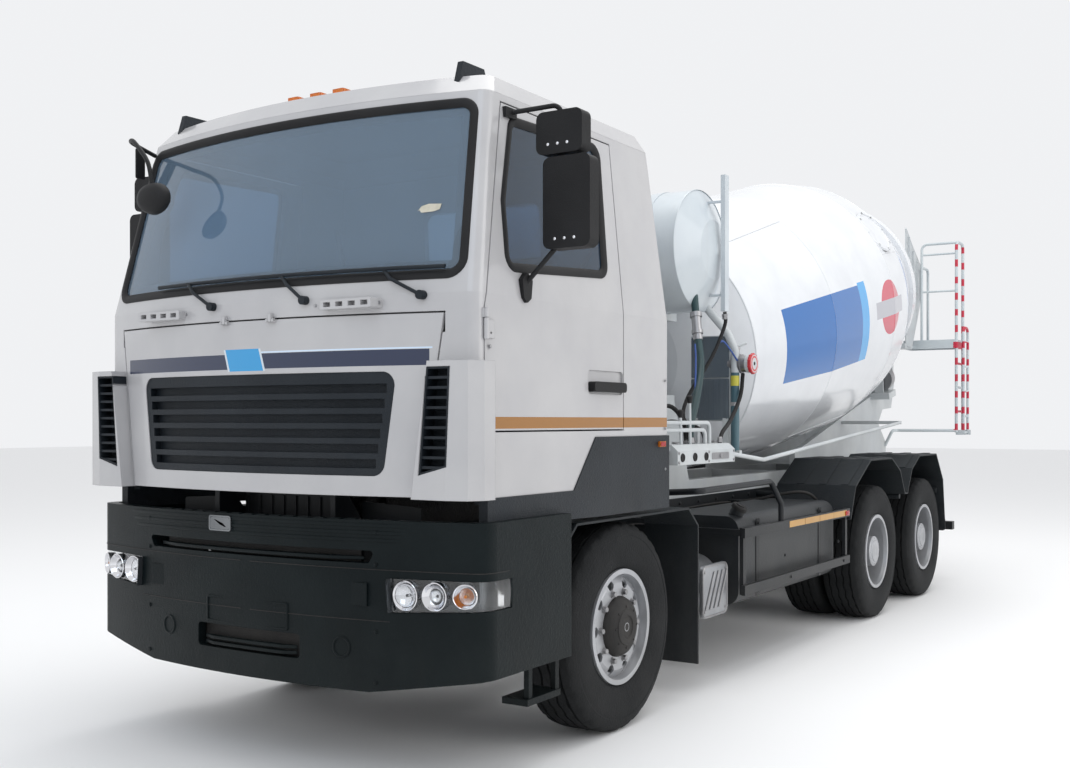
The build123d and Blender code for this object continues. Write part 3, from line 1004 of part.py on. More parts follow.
# ---------------------------------------------------------------- rear end
def hopper():
    """Loading hopper and discharge collector on the posts behind the drum."""
    flank = side_plate([(HOPPER_FRONT, SHELF_Z), (7000, SHELF_Z), (HOPPER_REAR, 2980), (HOPPER_REAR, 3220), (7030, 3430),
                        (HOPPER_FRONT, 3590)], HOPPER_HALF - HOPPER_T, HOPPER_HALF)
    ribs = [both(block(HOPPER_HALF - 2, HOPPER_HALF + 20, y, y + 16, z, z + 330))
            for y, z in ((6850, 3180), (7000, 3050), (7150, 2960), (7300, 2880))]
    inside = HOPPER_HALF - 5
    back = block(-inside, inside, HOPPER_REAR - HOPPER_T, HOPPER_REAR, 3000, 3220)
    chute_plate = plan_plate([(-inside, -6), (inside, -6), (inside, -70), (330, -440), (-330, -440), (-inside, -70)],
                             0, HOPPER_T)
    spout = Pos(0, HOPPER_REAR, 3150) * Rot(14, 0, 0) * chute_plate
    shelf = block(RAIL_X - 45, HOPPER_HALF, POST_REAR - 25, 6990, SHELF_Z, SHELF_Z + 50)
    beams = block(RAIL_X - 45, RAIL_X, 6980, 7330, SHELF_Z, SHELF_Z + 50)
    top = SHELF_Z + 50
    outer = loft([Pos(0, COLLECTOR_Y, top) * Rectangle(2 * (RAIL_X - 10), 400),
                  Pos(0, COLLECTOR_Y, COLLECTOR_BOTTOM) * Rectangle(340, 240)], ruled=True)
    inner = loft([Pos(0, COLLECTOR_Y, top + 1) * Rectangle(2 * (RAIL_X - 22), 376),
                  Pos(0, COLLECTOR_Y, COLLECTOR_BOTTOM - 1) * Rectangle(316, 216)], ruled=True)
    funnel = outer - inner
    keep("hopper", joined(both(flank), *ribs, back, spout, both(shelf), both(beams), funnel))


def steps(low, high, pitch):
    """Heights of evenly spaced rungs."""
    return [low + k * pitch for k in range(int((high - low) // pitch) + 1)]


def ladder():
    """Fixed ladder with its platform and rails, and the section that folds down beside it."""
    front, rear = LADDER_FRONT + LADDER_TUBE_R, REAR_END - LADDER_TUBE_R
    x = LADDER_X
    hoop = tube([(x, front, LADDER_FOOT), (x, front, LADDER_TOP), (x, rear, LADDER_TOP), (x, rear, LADDER_FOOT)],
                LADDER_TUBE_R, 60)
    rungs = [rod((x, front, z), (x, rear, z), 12) for z in steps(LADDER_FOOT + 220, PLATFORM_Z - PLATFORM_T - 40, 250)]
    platform = block(545, x, LADDER_FRONT - 20, REAR_END - 30, PLATFORM_Z - PLATFORM_T, PLATFORM_Z)
    platform -= block(565, x - 20, LADDER_FRONT, REAR_END - 50, PLATFORM_Z - PLATFORM_T - 5, PLATFORM_Z - 8)
    hanger = block(570, 650, 6990, LADDER_FRONT - 15, 2365, 2395)
    guard = tube([(RAIL_POST_X, front, PLATFORM_Z - 4), (RAIL_POST_X, front, LADDER_TOP - 10), (x, front, LADDER_TOP - 10)],
                 14, 60)
    far = tube([(RAIL_POST_X, rear - 30, PLATFORM_Z - 4), (RAIL_POST_X, rear - 30, 3220), (RAIL_POST_X, front, 3220)],
               14, 50)
    mids = [rod((RAIL_POST_X, front, z), (x, front, z), 11) for z in (2960, 3350)]
    foot = tube([(x, front, LADDER_FOOT + 20), (RAIL_X + 80, 7000, LADDER_FOOT + 20), (RAIL_X + 80, 6870, LADDER_FOOT + 20),
                 (RAIL_X, 6870, LADDER_FOOT - 140)], 16, 40)
    lugs = [block(x - 10, FOLD_X + 25, y - 6, y + 6, LADDER_FOOT - 25, LADDER_FOOT + 25)
            for y in (FOLD_FRONT - 26, FOLD_REAR + 26)]
    hinge = rod((FOLD_X, FOLD_FRONT - 26, LADDER_FOOT), (FOLD_X, FOLD_REAR + 26, LADDER_FOOT), FOLD_PIN_R)
    links = [rod((x, front, LADDER_FOOT + 17), (x, FOLD_FRONT - 20, LADDER_FOOT + 17), 10),
             rod((x, FOLD_REAR + 20, LADDER_FOOT + 17), (x, rear, LADDER_FOOT + 17), 10)]
    whole = joined(hoop, rungs, platform, hanger, guard, far, mids, foot, lugs, hinge, links)
    whole -= block(0, RAIL_X, 6500, 7100, 1000, 2000)
    keep("ladder", whole)

    fold = tube([(FOLD_X, FOLD_FRONT, LADDER_FOOT), (FOLD_X, FOLD_FRONT, FOLD_TOP), (FOLD_X, FOLD_REAR, FOLD_TOP),
                 (FOLD_X, FOLD_REAR, LADDER_FOOT)], 14, 70)
    treads = [rod((FOLD_X, FOLD_FRONT, z), (FOLD_X, FOLD_REAR, z), 11)
              for z in steps(LADDER_FOOT + 170, FOLD_TOP - 80, 260)]
    eyes = [rod((FOLD_X, y - 14, LADDER_FOOT), (FOLD_X, y + 14, LADDER_FOOT), 24) for y in (FOLD_FRONT, FOLD_REAR)]
    fold = joined(fold, treads, eyes)
    fold -= rod((FOLD_X, FOLD_FRONT - 40, LADDER_FOOT), (FOLD_X, FOLD_REAR + 40, LADDER_FOOT), FOLD_PIN_R + SHAFT_FIT)
    keep("ladder_fold", fold)


def half_ring(outer, inner, start, length):
    """The lower half of a pipe, from local x = start towards the discharge end."""
    section = (Circle(outer) - Circle(inner)) & Pos(0, -outer) * Rectangle(2 * outer + 10, 2 * outer)
    return Pos(start, 0, CHUTE_RISE) * extrude(Plane.YZ * section, length, dir=(-1, 0, 0))


def chute():
    """Swivelling arm, tipping trough and the cylinder between them."""
    y = CHUTE_Y
    sleeve = rod((0, y, CHUTE_POST_BASE + 5), (0, y, CHUTE_DECK_Z), CHUTE_POST_R + 22)
    deck = block(-60, 60, y - 228, y + 228, CHUTE_DECK_Z, CHUTE_DECK_Z + 30)
    ears = [block(-45, 45, y + side * 220 - 8, y + side * 220 + 8, CHUTE_DECK_Z, CHUTE_PIVOT_Z + 30) for side in (-1, 1)]
    pins = [rod((0, y + side * 186, CHUTE_PIVOT_Z), (0, y + side * 228, CHUTE_PIVOT_Z), CHUTE_PIN_R) for side in (-1, 1)]
    foot_ears = [block(LIFT_FOOT_X - 35, -45, y + side * 32 - 8, y + side * 32 + 8, LIFT_FOOT_Z - 35, LIFT_FOOT_Z + 35)
                 for side in (-1, 1)]
    foot_pin = rod((LIFT_FOOT_X, y - 40, LIFT_FOOT_Z), (LIFT_FOOT_X, y + 40, LIFT_FOOT_Z), LIFT_PIN_R)
    arm = joined(sleeve, deck, ears, pins, foot_ears, foot_pin)
    arm -= rod((0, y, CHUTE_POST_BASE - 10), (0, y, CHUTE_DECK_Z), CHUTE_POST_R + SHAFT_FIT)
    keep("chute_arm", arm)

    # the trough, drawn level with its pin at the origin, then sloped into place
    trough = half_ring(CHUTE_R, CHUTE_R - CHUTE_T, 120, CHUTE_LENGTH + 120)
    bands = [half_ring(CHUTE_R + 11, CHUTE_R - 2, x, 30) for x in (120, -480, -CHUTE_LENGTH + 30)]
    cheeks = [block(-30, 30, side * 196 - 8, side * 196 + 8, -28, 119) for side in (-1, 1)]
    hollow = Pos(200, 0, CHUTE_RISE) * extrude(Plane.YZ * Circle(CHUTE_R - CHUTE_T), CHUTE_LENGTH + 400, dir=(-1, 0, 0))
    body = joined(trough, bands, [cheek - hollow for cheek in cheeks])
    slope = Location((0, y, CHUTE_PIVOT_Z), (0, -CHUTE_SLOPE, 0))
    body = slope * body
    lugs = [block(LIFT_EYE_X - 28, LIFT_EYE_X + 28, y + side * 32 - 7, y + side * 32 + 7, LIFT_EYE_Z - 28, 1330)
            - slope * hollow for side in (-1, 1)]
    body = joined(body, [max(lug.solids(), key=lambda solid: solid.volume) for lug in lugs])
    for side in (-1, 1):
        body -= rod((0, y + side * 170, CHUTE_PIVOT_Z), (0, y + side * 215, CHUTE_PIVOT_Z), CHUTE_PIN_R + SHAFT_FIT)
    keep("chute", body)

    foot = Vector(LIFT_FOOT_X, y, LIFT_FOOT_Z)
    eye = Vector(LIFT_EYE_X, y, LIFT_EYE_Z)
    line = (eye - foot).normalized()
    barrel = rod(foot + line * 60, foot + line * 315, LIFT_R) + rod(foot, foot + line * 70, 20)
    barrel += rod((LIFT_FOOT_X, y - 20, LIFT_FOOT_Z), (LIFT_FOOT_X, y + 20, LIFT_FOOT_Z), 30)
    barrel -= rod((LIFT_FOOT_X, y - 30, LIFT_FOOT_Z), (LIFT_FOOT_X, y + 30, LIFT_FOOT_Z), LIFT_PIN_R + SHAFT_FIT)
    barrel -= rod(foot + line * 45, foot + line * 320, LIFT_ROD_R + SHAFT_FIT)
    keep("chute_cylinder", barrel)
    piston = rod(foot + line * 135, eye - line * 20, LIFT_ROD_R)
    piston += rod((LIFT_EYE_X, y - 18, LIFT_EYE_Z), (LIFT_EYE_X, y + 18, LIFT_EYE_Z), 26)
    piston -= rod((LIFT_EYE_X, y - 25, LIFT_EYE_Z), (LIFT_EYE_X, y + 25, LIFT_EYE_Z), LIFT_PIN_R + 1)
    keep("chute_rod", piston)


def build():
    chassis()
    engine()
    axles()
    knuckles()
    wheels()
    bumper()
    cab()
    cab_trim()
    mirrors()
    cab_inside()
    drum()
    mixer_frame()
    gearbox()
    water()
    mudguards()
    side_guards()
    side_tanks()
    exhaust()
    rear_bumper()
    controls()
    water_inlet()
    hoses()
    hopper()
    ladder()
    chute()


build()
os.makedirs("parts", exist_ok=True)
shift = Location((0, -CENTRE_Y, 0))
for name, solids in NODES.items():
    moved = [solid.moved(shift) for solid in solids]
    export_step(moved[0] if len(moved) == 1 else Compound(children=moved), f"parts/{name}.step")
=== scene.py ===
# %% [markdown]
# # Dressing a concrete mixer truck
# The truck comes in as a packed CAD model: rigid solids, already in place, in metres.
# This lesson adds what CAD leaves out. Paint, glass, rubber and dirt are shader nodes.
# Tyre tread, lamps, seals, nuts, hoses and seats are meshes made in code.
# Each cell is short, and prints what it made or measured.

# %% Load the fixed frame
import math

import bmesh
import bpy
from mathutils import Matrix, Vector


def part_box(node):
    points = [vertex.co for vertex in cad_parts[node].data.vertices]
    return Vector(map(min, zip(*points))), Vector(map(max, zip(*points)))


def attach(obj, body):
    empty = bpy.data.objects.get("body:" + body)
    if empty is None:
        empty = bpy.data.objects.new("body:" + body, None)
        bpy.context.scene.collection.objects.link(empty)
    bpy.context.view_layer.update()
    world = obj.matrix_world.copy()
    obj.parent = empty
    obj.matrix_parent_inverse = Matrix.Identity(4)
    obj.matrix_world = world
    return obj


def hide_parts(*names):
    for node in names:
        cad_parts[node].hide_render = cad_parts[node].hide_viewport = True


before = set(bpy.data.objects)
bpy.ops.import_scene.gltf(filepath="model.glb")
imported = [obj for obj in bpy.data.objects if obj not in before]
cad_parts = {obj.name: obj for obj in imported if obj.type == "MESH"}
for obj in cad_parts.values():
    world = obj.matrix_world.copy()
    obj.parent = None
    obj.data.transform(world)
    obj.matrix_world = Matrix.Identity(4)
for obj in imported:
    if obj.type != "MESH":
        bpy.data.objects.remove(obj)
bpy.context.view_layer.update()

# %% [markdown]
# ## Where things are
# Truck drawings measure from the front axle, in millimetres. So do the cells below:
# x runs to the truck's left, y rearwards from the front axle, and z up from the ground.
# The front tyre's box gives the axle's place, so nothing has to be typed in twice.

# %% A point in the truck's own measures
MM = 0.001
tyre_low, tyre_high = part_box("tyre_front_left")
AXLE_Y = (tyre_low.y + tyre_high.y) / 2
AXLE_Z = (tyre_low.z + tyre_high.z) / 2
HUB_Z = AXLE_Z / MM
SIDES = (("left", 1), ("right", -1))    # the truck's side, and the sign of its x


def spot(x, y, z):
    """Millimetres from the front axle, as a point of the scene."""
    return Vector((x * MM, y * MM + AXLE_Y, z * MM))


print("front axle at y", round(AXLE_Y, 4), "and", round(AXLE_Z, 3), "m high")

# %% [markdown]
# ## Camera
# A view from the front left corner, at a standing person's eye height. The lens is a little
# longer than normal, and a small shift frames the truck without tilting the camera, which
# keeps its upright lines upright.

# %% Camera
camera_data = bpy.data.cameras.new("camera")
camera = bpy.data.objects.new("camera", camera_data)
bpy.context.scene.collection.objects.link(camera)
camera.location = (4.151, -8.268, 1.604)
camera.rotation_euler = (math.radians(90 - 0.15), 0, math.radians(31.12))
camera_data.sensor_width = 36
camera_data.lens = 39.5
camera_data.shift_x = -0.0519
camera_data.shift_y = 0.037
bpy.context.scene.camera = camera
print("lens", camera_data.lens, "mm, from", [round(v, 2) for v in camera.location])

# %% [markdown]
# ## Studio
# Glossy paint shows whatever surrounds it, so the room matters as much as the lamps. A pale
# world lights the truck from everywhere, as an overcast sky does. One wide lamp overhead
# brightens the upward faces, a cool one ahead gives the windscreen its sheen, and one on the
# left lights the long side.


# %% Floor, world and lamps
def wide_lamp(name, place, aim, size, power, colour):
    """A square area lamp that looks at a point."""
    data = bpy.data.lights.new(name, "AREA")
    data.size, data.energy, data.color = size, power, colour
    lamp = bpy.data.objects.new(name, data)
    bpy.context.scene.collection.objects.link(lamp)
    lamp.location = place
    lamp.rotation_euler = (Vector(aim) - Vector(place)).to_track_quat("-Z", "Y").to_euler()


world = bpy.data.worlds.new("overcast")
bpy.context.scene.world = world
world.use_nodes = True
world.node_tree.nodes["Background"].inputs["Color"].default_value = (0.97, 0.98, 1.0, 1)
world.node_tree.nodes["Background"].inputs["Strength"].default_value = 0.9

wide_lamp("overhead", (1, 0, 11), (0, 0, 1), 9, 560, (1, 0.99, 0.97))
wide_lamp("sky_ahead", (3, -13, 8.5), (0, -4, 2), 8, 230, (0.72, 0.85, 1))
wide_lamp("left_side", (11, 0, 5), (0, 0, 1.5), 7, 260, (1, 0.98, 0.96))

floor_mesh = bpy.data.meshes.new("floor")
floor_mesh.from_pydata([(-60, -60, 0), (60, -60, 0), (60, 60, 0), (-60, 60, 0)], [], [(0, 1, 2, 3)])
floor = bpy.data.objects.new("floor", floor_mesh)
bpy.context.scene.collection.objects.link(floor)
floor_paint = bpy.data.materials.new("floor_paint")
floor_paint.use_nodes = True
floor_shader = floor_paint.node_tree.nodes["Principled BSDF"]
floor_shader.inputs["Base Color"].default_value = (0.86, 0.86, 0.86, 1)
floor_shader.inputs["Roughness"].default_value = 0.9
floor_mesh.materials.append(floor_paint)
bpy.context.scene.view_settings.view_transform = "Standard"

# %% [markdown]
# ## Wiring shader nodes
# A node tree written out link by link is long and hard to read, so a few helpers shorten it.
# `add` makes one node and fills its sockets, from a plain value or from another node's output.
# `new_group` starts a group whose inputs and outputs have names, so that an effect is built
# once, and each material then gives it its own values.


# %% Helpers for node trees
def wire(tree, node, values):
    """Fill a node's sockets: a value that is a socket is linked, and any other is set."""
    for key, value in values.items():
        socket = node.inputs[int(key[1:])] if key[0] == "_" else node.inputs[key]
        if isinstance(value, bpy.types.NodeSocket):
            tree.links.new(value, socket)
        else:
            socket.default_value = value
    return node


def add(tree, kind, setup=None, **values):
    """One node, with its settings and its sockets filled; _0 is the first socket."""
    made = tree.nodes.new("ShaderNode" + kind)
    for key, value in (setup or {}).items():
        setattr(made, key, value)
    return wire(tree, made, values)


def new_group(name, inputs, outputs):
    """An empty group, with its input node and its output node."""
    tree = bpy.data.node_groups.new(name, "ShaderNodeTree")
    for title, value in inputs:
        kind = "NodeSocketFloat" if isinstance(value, (int, float)) else (
            "NodeSocketVector" if len(value) == 3 else "NodeSocketColor")
        tree.interface.new_socket(title, in_out="INPUT", socket_type=kind).default_value = value
    for title in outputs:
        kind = "NodeSocketColor" if title == "Color" else "NodeSocketFloat"
        tree.interface.new_socket(title, in_out="OUTPUT", socket_type=kind)
    return tree, tree.nodes.new("NodeGroupInput").outputs, tree.nodes.new("NodeGroupOutput").inputs


def maths(tree, operation, first, second=0.0, third=0.0):
    """The output of one Math node."""
    return add(tree, "Math", {"operation": operation}, _0=first, _1=second, _2=third).outputs[0]


def vectors(tree, operation, first, second):
    """One Vector Math node."""
    return add(tree, "VectorMath", {"operation": operation}, _0=first, _1=second)


print("node helpers ready")


# %% Helpers for materials
def blend(tree, mask, first, second):
    """The output of one Mix node between two colours."""
    return add(tree, "Mix", {"data_type": "RGBA"}, _0=mask, _6=first, _7=second).outputs[2]


def new_material(name):
    """A material, with its tree, its Principled shader and the object's coordinates."""
    made = bpy.data.materials.new(name)
    made.use_nodes = True
    tree = made.node_tree
    return made, tree, tree.nodes["Principled BSDF"], add(tree, "TexCoord").outputs["Object"]


def place_group(tree, group, **values):
    """A group's node in a material, with this material's values; its first output."""
    return add(tree, "Group", {"node_tree": group}, **values).outputs[0]


print("material helpers ready")

# %% [markdown]
# ## Shared effects: mottling, dust and grain
# No real surface is one even colour. `mottling` drifts between two colours in soft clouds.
# Low dust is what wheels throw up: thick near the ground, thinner above, and broken by
# noise; on the drum it also paints the shade on the underside. `fine_grain` is the height of
# moulded plastic, cast iron or orange-peel paint, and the material's own Bump node turns it
# into a normal.

# %% Mottling
MOTTLING, given, out = new_group(
    "mottling", [("Vector", (0, 0, 0)), ("Scale", 3.0), ("First", (0.5, 0.5, 0.5, 1)),
                 ("Second", (0.6, 0.6, 0.6, 1))], ["Color"])
clouds = add(MOTTLING, "TexNoise", Vector=given["Vector"], Scale=given["Scale"], Detail=4.0)
spread = add(MOTTLING, "MapRange", _0=clouds.outputs[0], _1=0.35, _2=0.65)
MOTTLING.links.new(blend(MOTTLING, spread.outputs[0], given["First"], given["Second"]), out["Color"])
print("group", MOTTLING.name, "takes", [s.name for s in MOTTLING.interface.items_tree if s.in_out == "INPUT"])

# %% Low dust, and shade on the drum
LOW_DUST_AND_SHADE, given, out = new_group(
    "low_dust_and_shade", [("Vector", (0, 0, 0)), ("Height", 1.5), ("Amount", 0.5), ("Scale", 4.0)], ["Mask"])
parts = add(LOW_DUST_AND_SHADE, "SeparateXYZ", _0=given["Vector"])
low = maths(LOW_DUST_AND_SHADE, "SUBTRACT", 1.0, maths(LOW_DUST_AND_SHADE, "DIVIDE", parts.outputs[2], given["Height"]))
low = add(LOW_DUST_AND_SHADE, "Clamp", _0=low).outputs[0]
squeezed = add(LOW_DUST_AND_SHADE, "Mapping", _0=given["Vector"], Scale=(1, 1, 0.35))
patchy = add(LOW_DUST_AND_SHADE, "TexNoise", Vector=squeezed.outputs[0], Scale=given["Scale"], Detail=6.0,
             Roughness=0.65)
drawn = add(LOW_DUST_AND_SHADE, "MapRange", _0=patchy.outputs[0], _1=0.38, _2=0.68)
mask = maths(LOW_DUST_AND_SHADE, "MULTIPLY", low, maths(LOW_DUST_AND_SHADE, "ADD", 0.35, drawn.outputs[0]))
mask = add(LOW_DUST_AND_SHADE, "Clamp", _0=maths(LOW_DUST_AND_SHADE, "MULTIPLY", mask, given["Amount"])).outputs[0]
LOW_DUST_AND_SHADE.links.new(mask, out["Mask"])
print("group", LOW_DUST_AND_SHADE.name)

# %% Fine grain
FINE_GRAIN, given, out = new_group(
    "fine_grain", [("Vector", (0, 0, 0)), ("Scale", 200.0), ("Depth", 0.5)], ["Height"])
pits = add(FINE_GRAIN, "TexVoronoi", {"feature": "SMOOTH_F1"}, Vector=given["Vector"], Scale=given["Scale"])
swell = add(FINE_GRAIN, "TexNoise", Vector=given["Vector"],
            Scale=maths(FINE_GRAIN, "MULTIPLY", given["Scale"], 0.3))
height = maths(FINE_GRAIN, "ADD", pits.outputs[0], swell.outputs[0])
FINE_GRAIN.links.new(maths(FINE_GRAIN, "MULTIPLY", height, given["Depth"]), out["Height"])
print("group", FINE_GRAIN.name)

# %% [markdown]
# ## Shared effects: runs, taped areas and banding
# Rain draws dirt into upright runs, so `rain_runs` is noise stretched along z. Stripes, tape
# and painted panels have sharp edges at known places: `marked_area` is one inside a box and
# nought outside it. `Mirror` folds the two sides of the truck together, and `Slant` leans the
# ends of a stripe. `banding` repeats along z, as warning tape round a tube does.

# %% Rain runs
RAIN_RUNS, given, out = new_group(
    "rain_runs", [("Vector", (0, 0, 0)), ("Scale", 14.0), ("Amount", 0.4)], ["Mask"])
drawn_out = add(RAIN_RUNS, "Mapping", _0=given["Vector"], Scale=(1, 1, 0.06))
lines = add(RAIN_RUNS, "TexNoise", Vector=drawn_out.outputs[0], Scale=given["Scale"], Detail=5.0)
sharp = add(RAIN_RUNS, "MapRange", _0=lines.outputs[0], _1=0.52, _2=0.78)
RAIN_RUNS.links.new(maths(RAIN_RUNS, "MULTIPLY", sharp.outputs[0], given["Amount"]), out["Mask"])
print("group", RAIN_RUNS.name)

# %% Marked area
MARKED_AREA, given, out = new_group(
    "marked_area", [("Vector", (0, 0, 0)), ("Low", (0, 0, 0)), ("High", (1, 1, 1)), ("Mirror", 0.0),
                    ("Slant", 0.0)], ["Mask"])
here = add(MARKED_AREA, "SeparateXYZ", _0=given["Vector"])
low = add(MARKED_AREA, "SeparateXYZ", _0=given["Low"])
high = add(MARKED_AREA, "SeparateXYZ", _0=given["High"])
folded = maths(MARKED_AREA, "ABSOLUTE", here.outputs[0])
across = add(MARKED_AREA, "Mix", _0=given["Mirror"], _2=here.outputs[0], _3=folded).outputs[0]
above = maths(MARKED_AREA, "SUBTRACT", here.outputs[2], low.outputs[2])
across = maths(MARKED_AREA, "MULTIPLY_ADD", above, given["Slant"], across)
inside = None
for place, axis in ((across, 0), (here.outputs[1], 1), (here.outputs[2], 2)):
    for nearer in (maths(MARKED_AREA, "SUBTRACT", place, low.outputs[axis]),
                   maths(MARKED_AREA, "SUBTRACT", high.outputs[axis], place)):
        inside = nearer if inside is None else maths(MARKED_AREA, "MINIMUM", inside, nearer)
MARKED_AREA.links.new(maths(MARKED_AREA, "GREATER_THAN", inside, 0.0), out["Mask"])
print("group", MARKED_AREA.name)

# %% Banding
BANDING, given, out = new_group(
    "banding", [("Vector", (0, 0, 0)), ("Pitch", 0.14), ("Share", 0.4)], ["Mask"])
here = add(BANDING, "SeparateXYZ", _0=given["Vector"])
wobble = add(BANDING, "TexNoise", Vector=given["Vector"], Scale=2.5)
up = maths(BANDING, "MULTIPLY_ADD", wobble.outputs[0], 0.05, here.outputs[2])
turn = maths(BANDING, "FRACT", maths(BANDING, "DIVIDE", up, given["Pitch"]))
BANDING.links.new(maths(BANDING, "LESS_THAN", turn, given["Share"]), out["Mask"])
print("group", BANDING.name)

# %% [markdown]
# ## One way to finish a surface
# Every opaque finish here is built alike: a mottled colour, dust over it, a little grain in
# the normal, and a roughness that rises where the dust lies. `finish` makes that and returns
# the material, and `mix_in` and `paint_over` lay stripes and patches over its colour. Values
# that are the same all over, such as the coat, go straight onto the shader.


# %% The general finish
DUSTY_ROUGHNESS, COAT_ROUGHNESS, GRAIN_DEPTH = 0.75, 0.08, 0.02


def finish(name, first, second, rough, metal=0.0, coat=0.0, grain=(300, 0.02), dust=(1.6, 0.35), scale=3.0,
           dusty=(0.30, 0.27, 0.23), runs=0.0, edge=0.0, shine=0.5):
    """A material with mottled colour, low dust that can also paint shade, grain, runs and softened edges."""
    made, tree, shader, where = new_material(name)
    colour = place_group(tree, MOTTLING, Vector=where, Scale=scale, First=(*first, 1), Second=(*second, 1))
    dust_and_shade_mask = place_group(tree, LOW_DUST_AND_SHADE, Vector=where, Height=dust[0], Amount=dust[1])
    if runs:
        streaks = place_group(tree, RAIN_RUNS, Vector=where, Amount=runs)
        dust_and_shade_mask = maths(tree, "MAXIMUM", dust_and_shade_mask, streaks)
    colour = blend(tree, dust_and_shade_mask, colour, (*dusty, 1))
    roughness = maths(tree, "MULTIPLY_ADD", dust_and_shade_mask, DUSTY_ROUGHNESS - rough, rough)
    height = place_group(tree, FINE_GRAIN, Vector=where, Scale=float(grain[0]), Depth=1.0)
    bump = add(tree, "Bump", Height=height, Strength=min(grain[1] * 10, 1.0), Distance=grain[1] * GRAIN_DEPTH)
    if edge:
        softened = add(tree, "Bevel", {"samples": 4}, Radius=edge)
        tree.links.new(softened.outputs[0], bump.inputs["Normal"])
    wire(tree, shader, {"Base Color": colour, "Roughness": roughness, "Normal": bump.outputs[0],
                        "Metallic": metal, "Specular IOR Level": shine, "Coat Weight": coat,
                        "Coat Roughness": COAT_ROUGHNESS})
    made.diffuse_color = (*first, 1)
    return made


print("finish ready, with a roughness of", DUSTY_ROUGHNESS, "where the dust lies")


# %% Mixing into a finish
def coordinates(material):
    """The outputs of a finish's own coordinate node."""
    return next(n for n in material.node_tree.nodes if n.type == "TEX_COORD").outputs


def mix_in(material, mask, colour):
    """Mix a colour into a finish where a mask is one."""
    tree = material.node_tree
    base = tree.nodes["Principled BSDF"].inputs["Base Color"]
    tree.links.new(blend(tree, mask, base.links[0].from_socket, colour), base)


def paint_over(material, colour, **area):
    """Mix a colour into a finish inside a marked area."""
    where = area.pop("Vector", None) or coordinates(material)["Object"]
    mix_in(material, place_group(material.node_tree, MARKED_AREA, Vector=where, **area), (*colour, 1))


def corner(x, y, z):
    """A corner of a marked area, from truck measures."""
    return tuple(spot(x, y, z))


print("a corner over the front axle:", [round(v, 2) for v in corner(0, 0, 1000)])

# %% [markdown]
# ## Paints
# The cab is an off-white gloss with a clear coat. Its colour is a pale grey with a breath of
# lilac, darker than the drum's white: painted shade for the cab's front and side. A navy
# stripe crosses the front flap, broken by a light blue slanted field, and a strip of orange
# reflective tape runs along each side below the door. All of it is paint, a hair thick, so it
# is colour in the shader and not a mesh.

# %% Cab paint
FAR_AHEAD = -9000
# The cab's pale grey is painted shade: a darker copy of the white that the drum has.
shaded_cab_look = dict(first=(0.44, 0.435, 0.445), second=(0.48, 0.475, 0.48), rough=0.24, coat=0.6,
                grain=(900, 0.006), dust=(2.3, 0.10), edge=0.006)
cab_paint = finish("cab_paint", runs=0.05, **shaded_cab_look)
flap_paint = finish("flap_paint", **shaded_cab_look)
# (colour, lowest and highest x, lowest and highest z, on both sides, slant)
for colour, low_x, high_x, low_z, high_z, mirror, slant in (
        ((0.005, 0.015, 0.055), -1, 976, 1841, 1911, 1.0, 0.0),
        ((0.60, 0.72, 0.86), -60, 990, 1913, 1920, 0.0, 0.0),
        ((0.60, 0.66, 0.70), -139, 105, 1832, 1934, 0.0, 0.30),
        ((0.02, 0.30, 0.62), -127, 93, 1832, 1934, 0.0, 0.30)):
    paint_over(flap_paint, colour, Low=corner(low_x, FAR_AHEAD, low_z), High=corner(high_x, 0, high_z),
               Mirror=mirror, Slant=slant)
paint_over(cab_paint, (0.30, 0.12, 0.006), Low=corner(1150, -1205, 1568), High=corner(1260, 460, 1620),
           Mirror=1.0)
print("paints with stripes:", flap_paint.name, "and", cab_paint.name)

# %% [markdown]
# ## Drum paint
# The drum turns about a sloping axis, so its decoration is laid out along that axis and round
# it. `drum_spread` unrolls the surface: its first number is the distance along the axis and
# its third the angle up from the side, the same on the left and on the right. A marked area on
# those two is then a clean patch that follows the curve. The dust lies low on the drum, and
# there it also paints the shade on the drum's underside.

# %% Unrolling the drum
DRUM_TILT = math.radians(11.5)
DRUM_MIDDLE = Vector((0, 4500, 2540))
DRUM_AHEAD = Vector((0, math.cos(DRUM_TILT), math.sin(DRUM_TILT)))
DRUM_UP = Vector((0, -math.sin(DRUM_TILT), math.cos(DRUM_TILT)))
drum_point = spot(*DRUM_MIDDLE)
DRUM_SPREAD, given, out = new_group("drum_spread", [("Vector", (0, 0, 0)), ("Normal", (0, 0, 0))],
                                    ["Along", "Round", "Inside"])
from_point = vectors(DRUM_SPREAD, "SUBTRACT", given["Vector"], tuple(drum_point)).outputs[0]
along = vectors(DRUM_SPREAD, "DOT_PRODUCT", from_point, tuple(DRUM_AHEAD)).outputs["Value"]
raised = vectors(DRUM_SPREAD, "DOT_PRODUCT", from_point, tuple(DRUM_UP)).outputs["Value"]
sideways = add(DRUM_SPREAD, "SeparateXYZ", _0=from_point).outputs[0]
DRUM_SPREAD.links.new(along, out["Along"])
either_side = maths(DRUM_SPREAD, "ABSOLUTE", sideways)
DRUM_SPREAD.links.new(maths(DRUM_SPREAD, "ARCTAN2", raised, either_side), out["Round"])
core = add(DRUM_SPREAD, "VectorMath", {"operation": "SCALE"}, _0=tuple(DRUM_AHEAD), Scale=along)
outward = vectors(DRUM_SPREAD, "SUBTRACT", from_point, core.outputs[0])
facing = vectors(DRUM_SPREAD, "DOT_PRODUCT", given["Normal"], outward.outputs[0])
DRUM_SPREAD.links.new(maths(DRUM_SPREAD, "LESS_THAN", facing.outputs["Value"], -0.02), out["Inside"])
print("the drum's axis rises", round(math.degrees(DRUM_TILT), 1), "degrees to the rear")

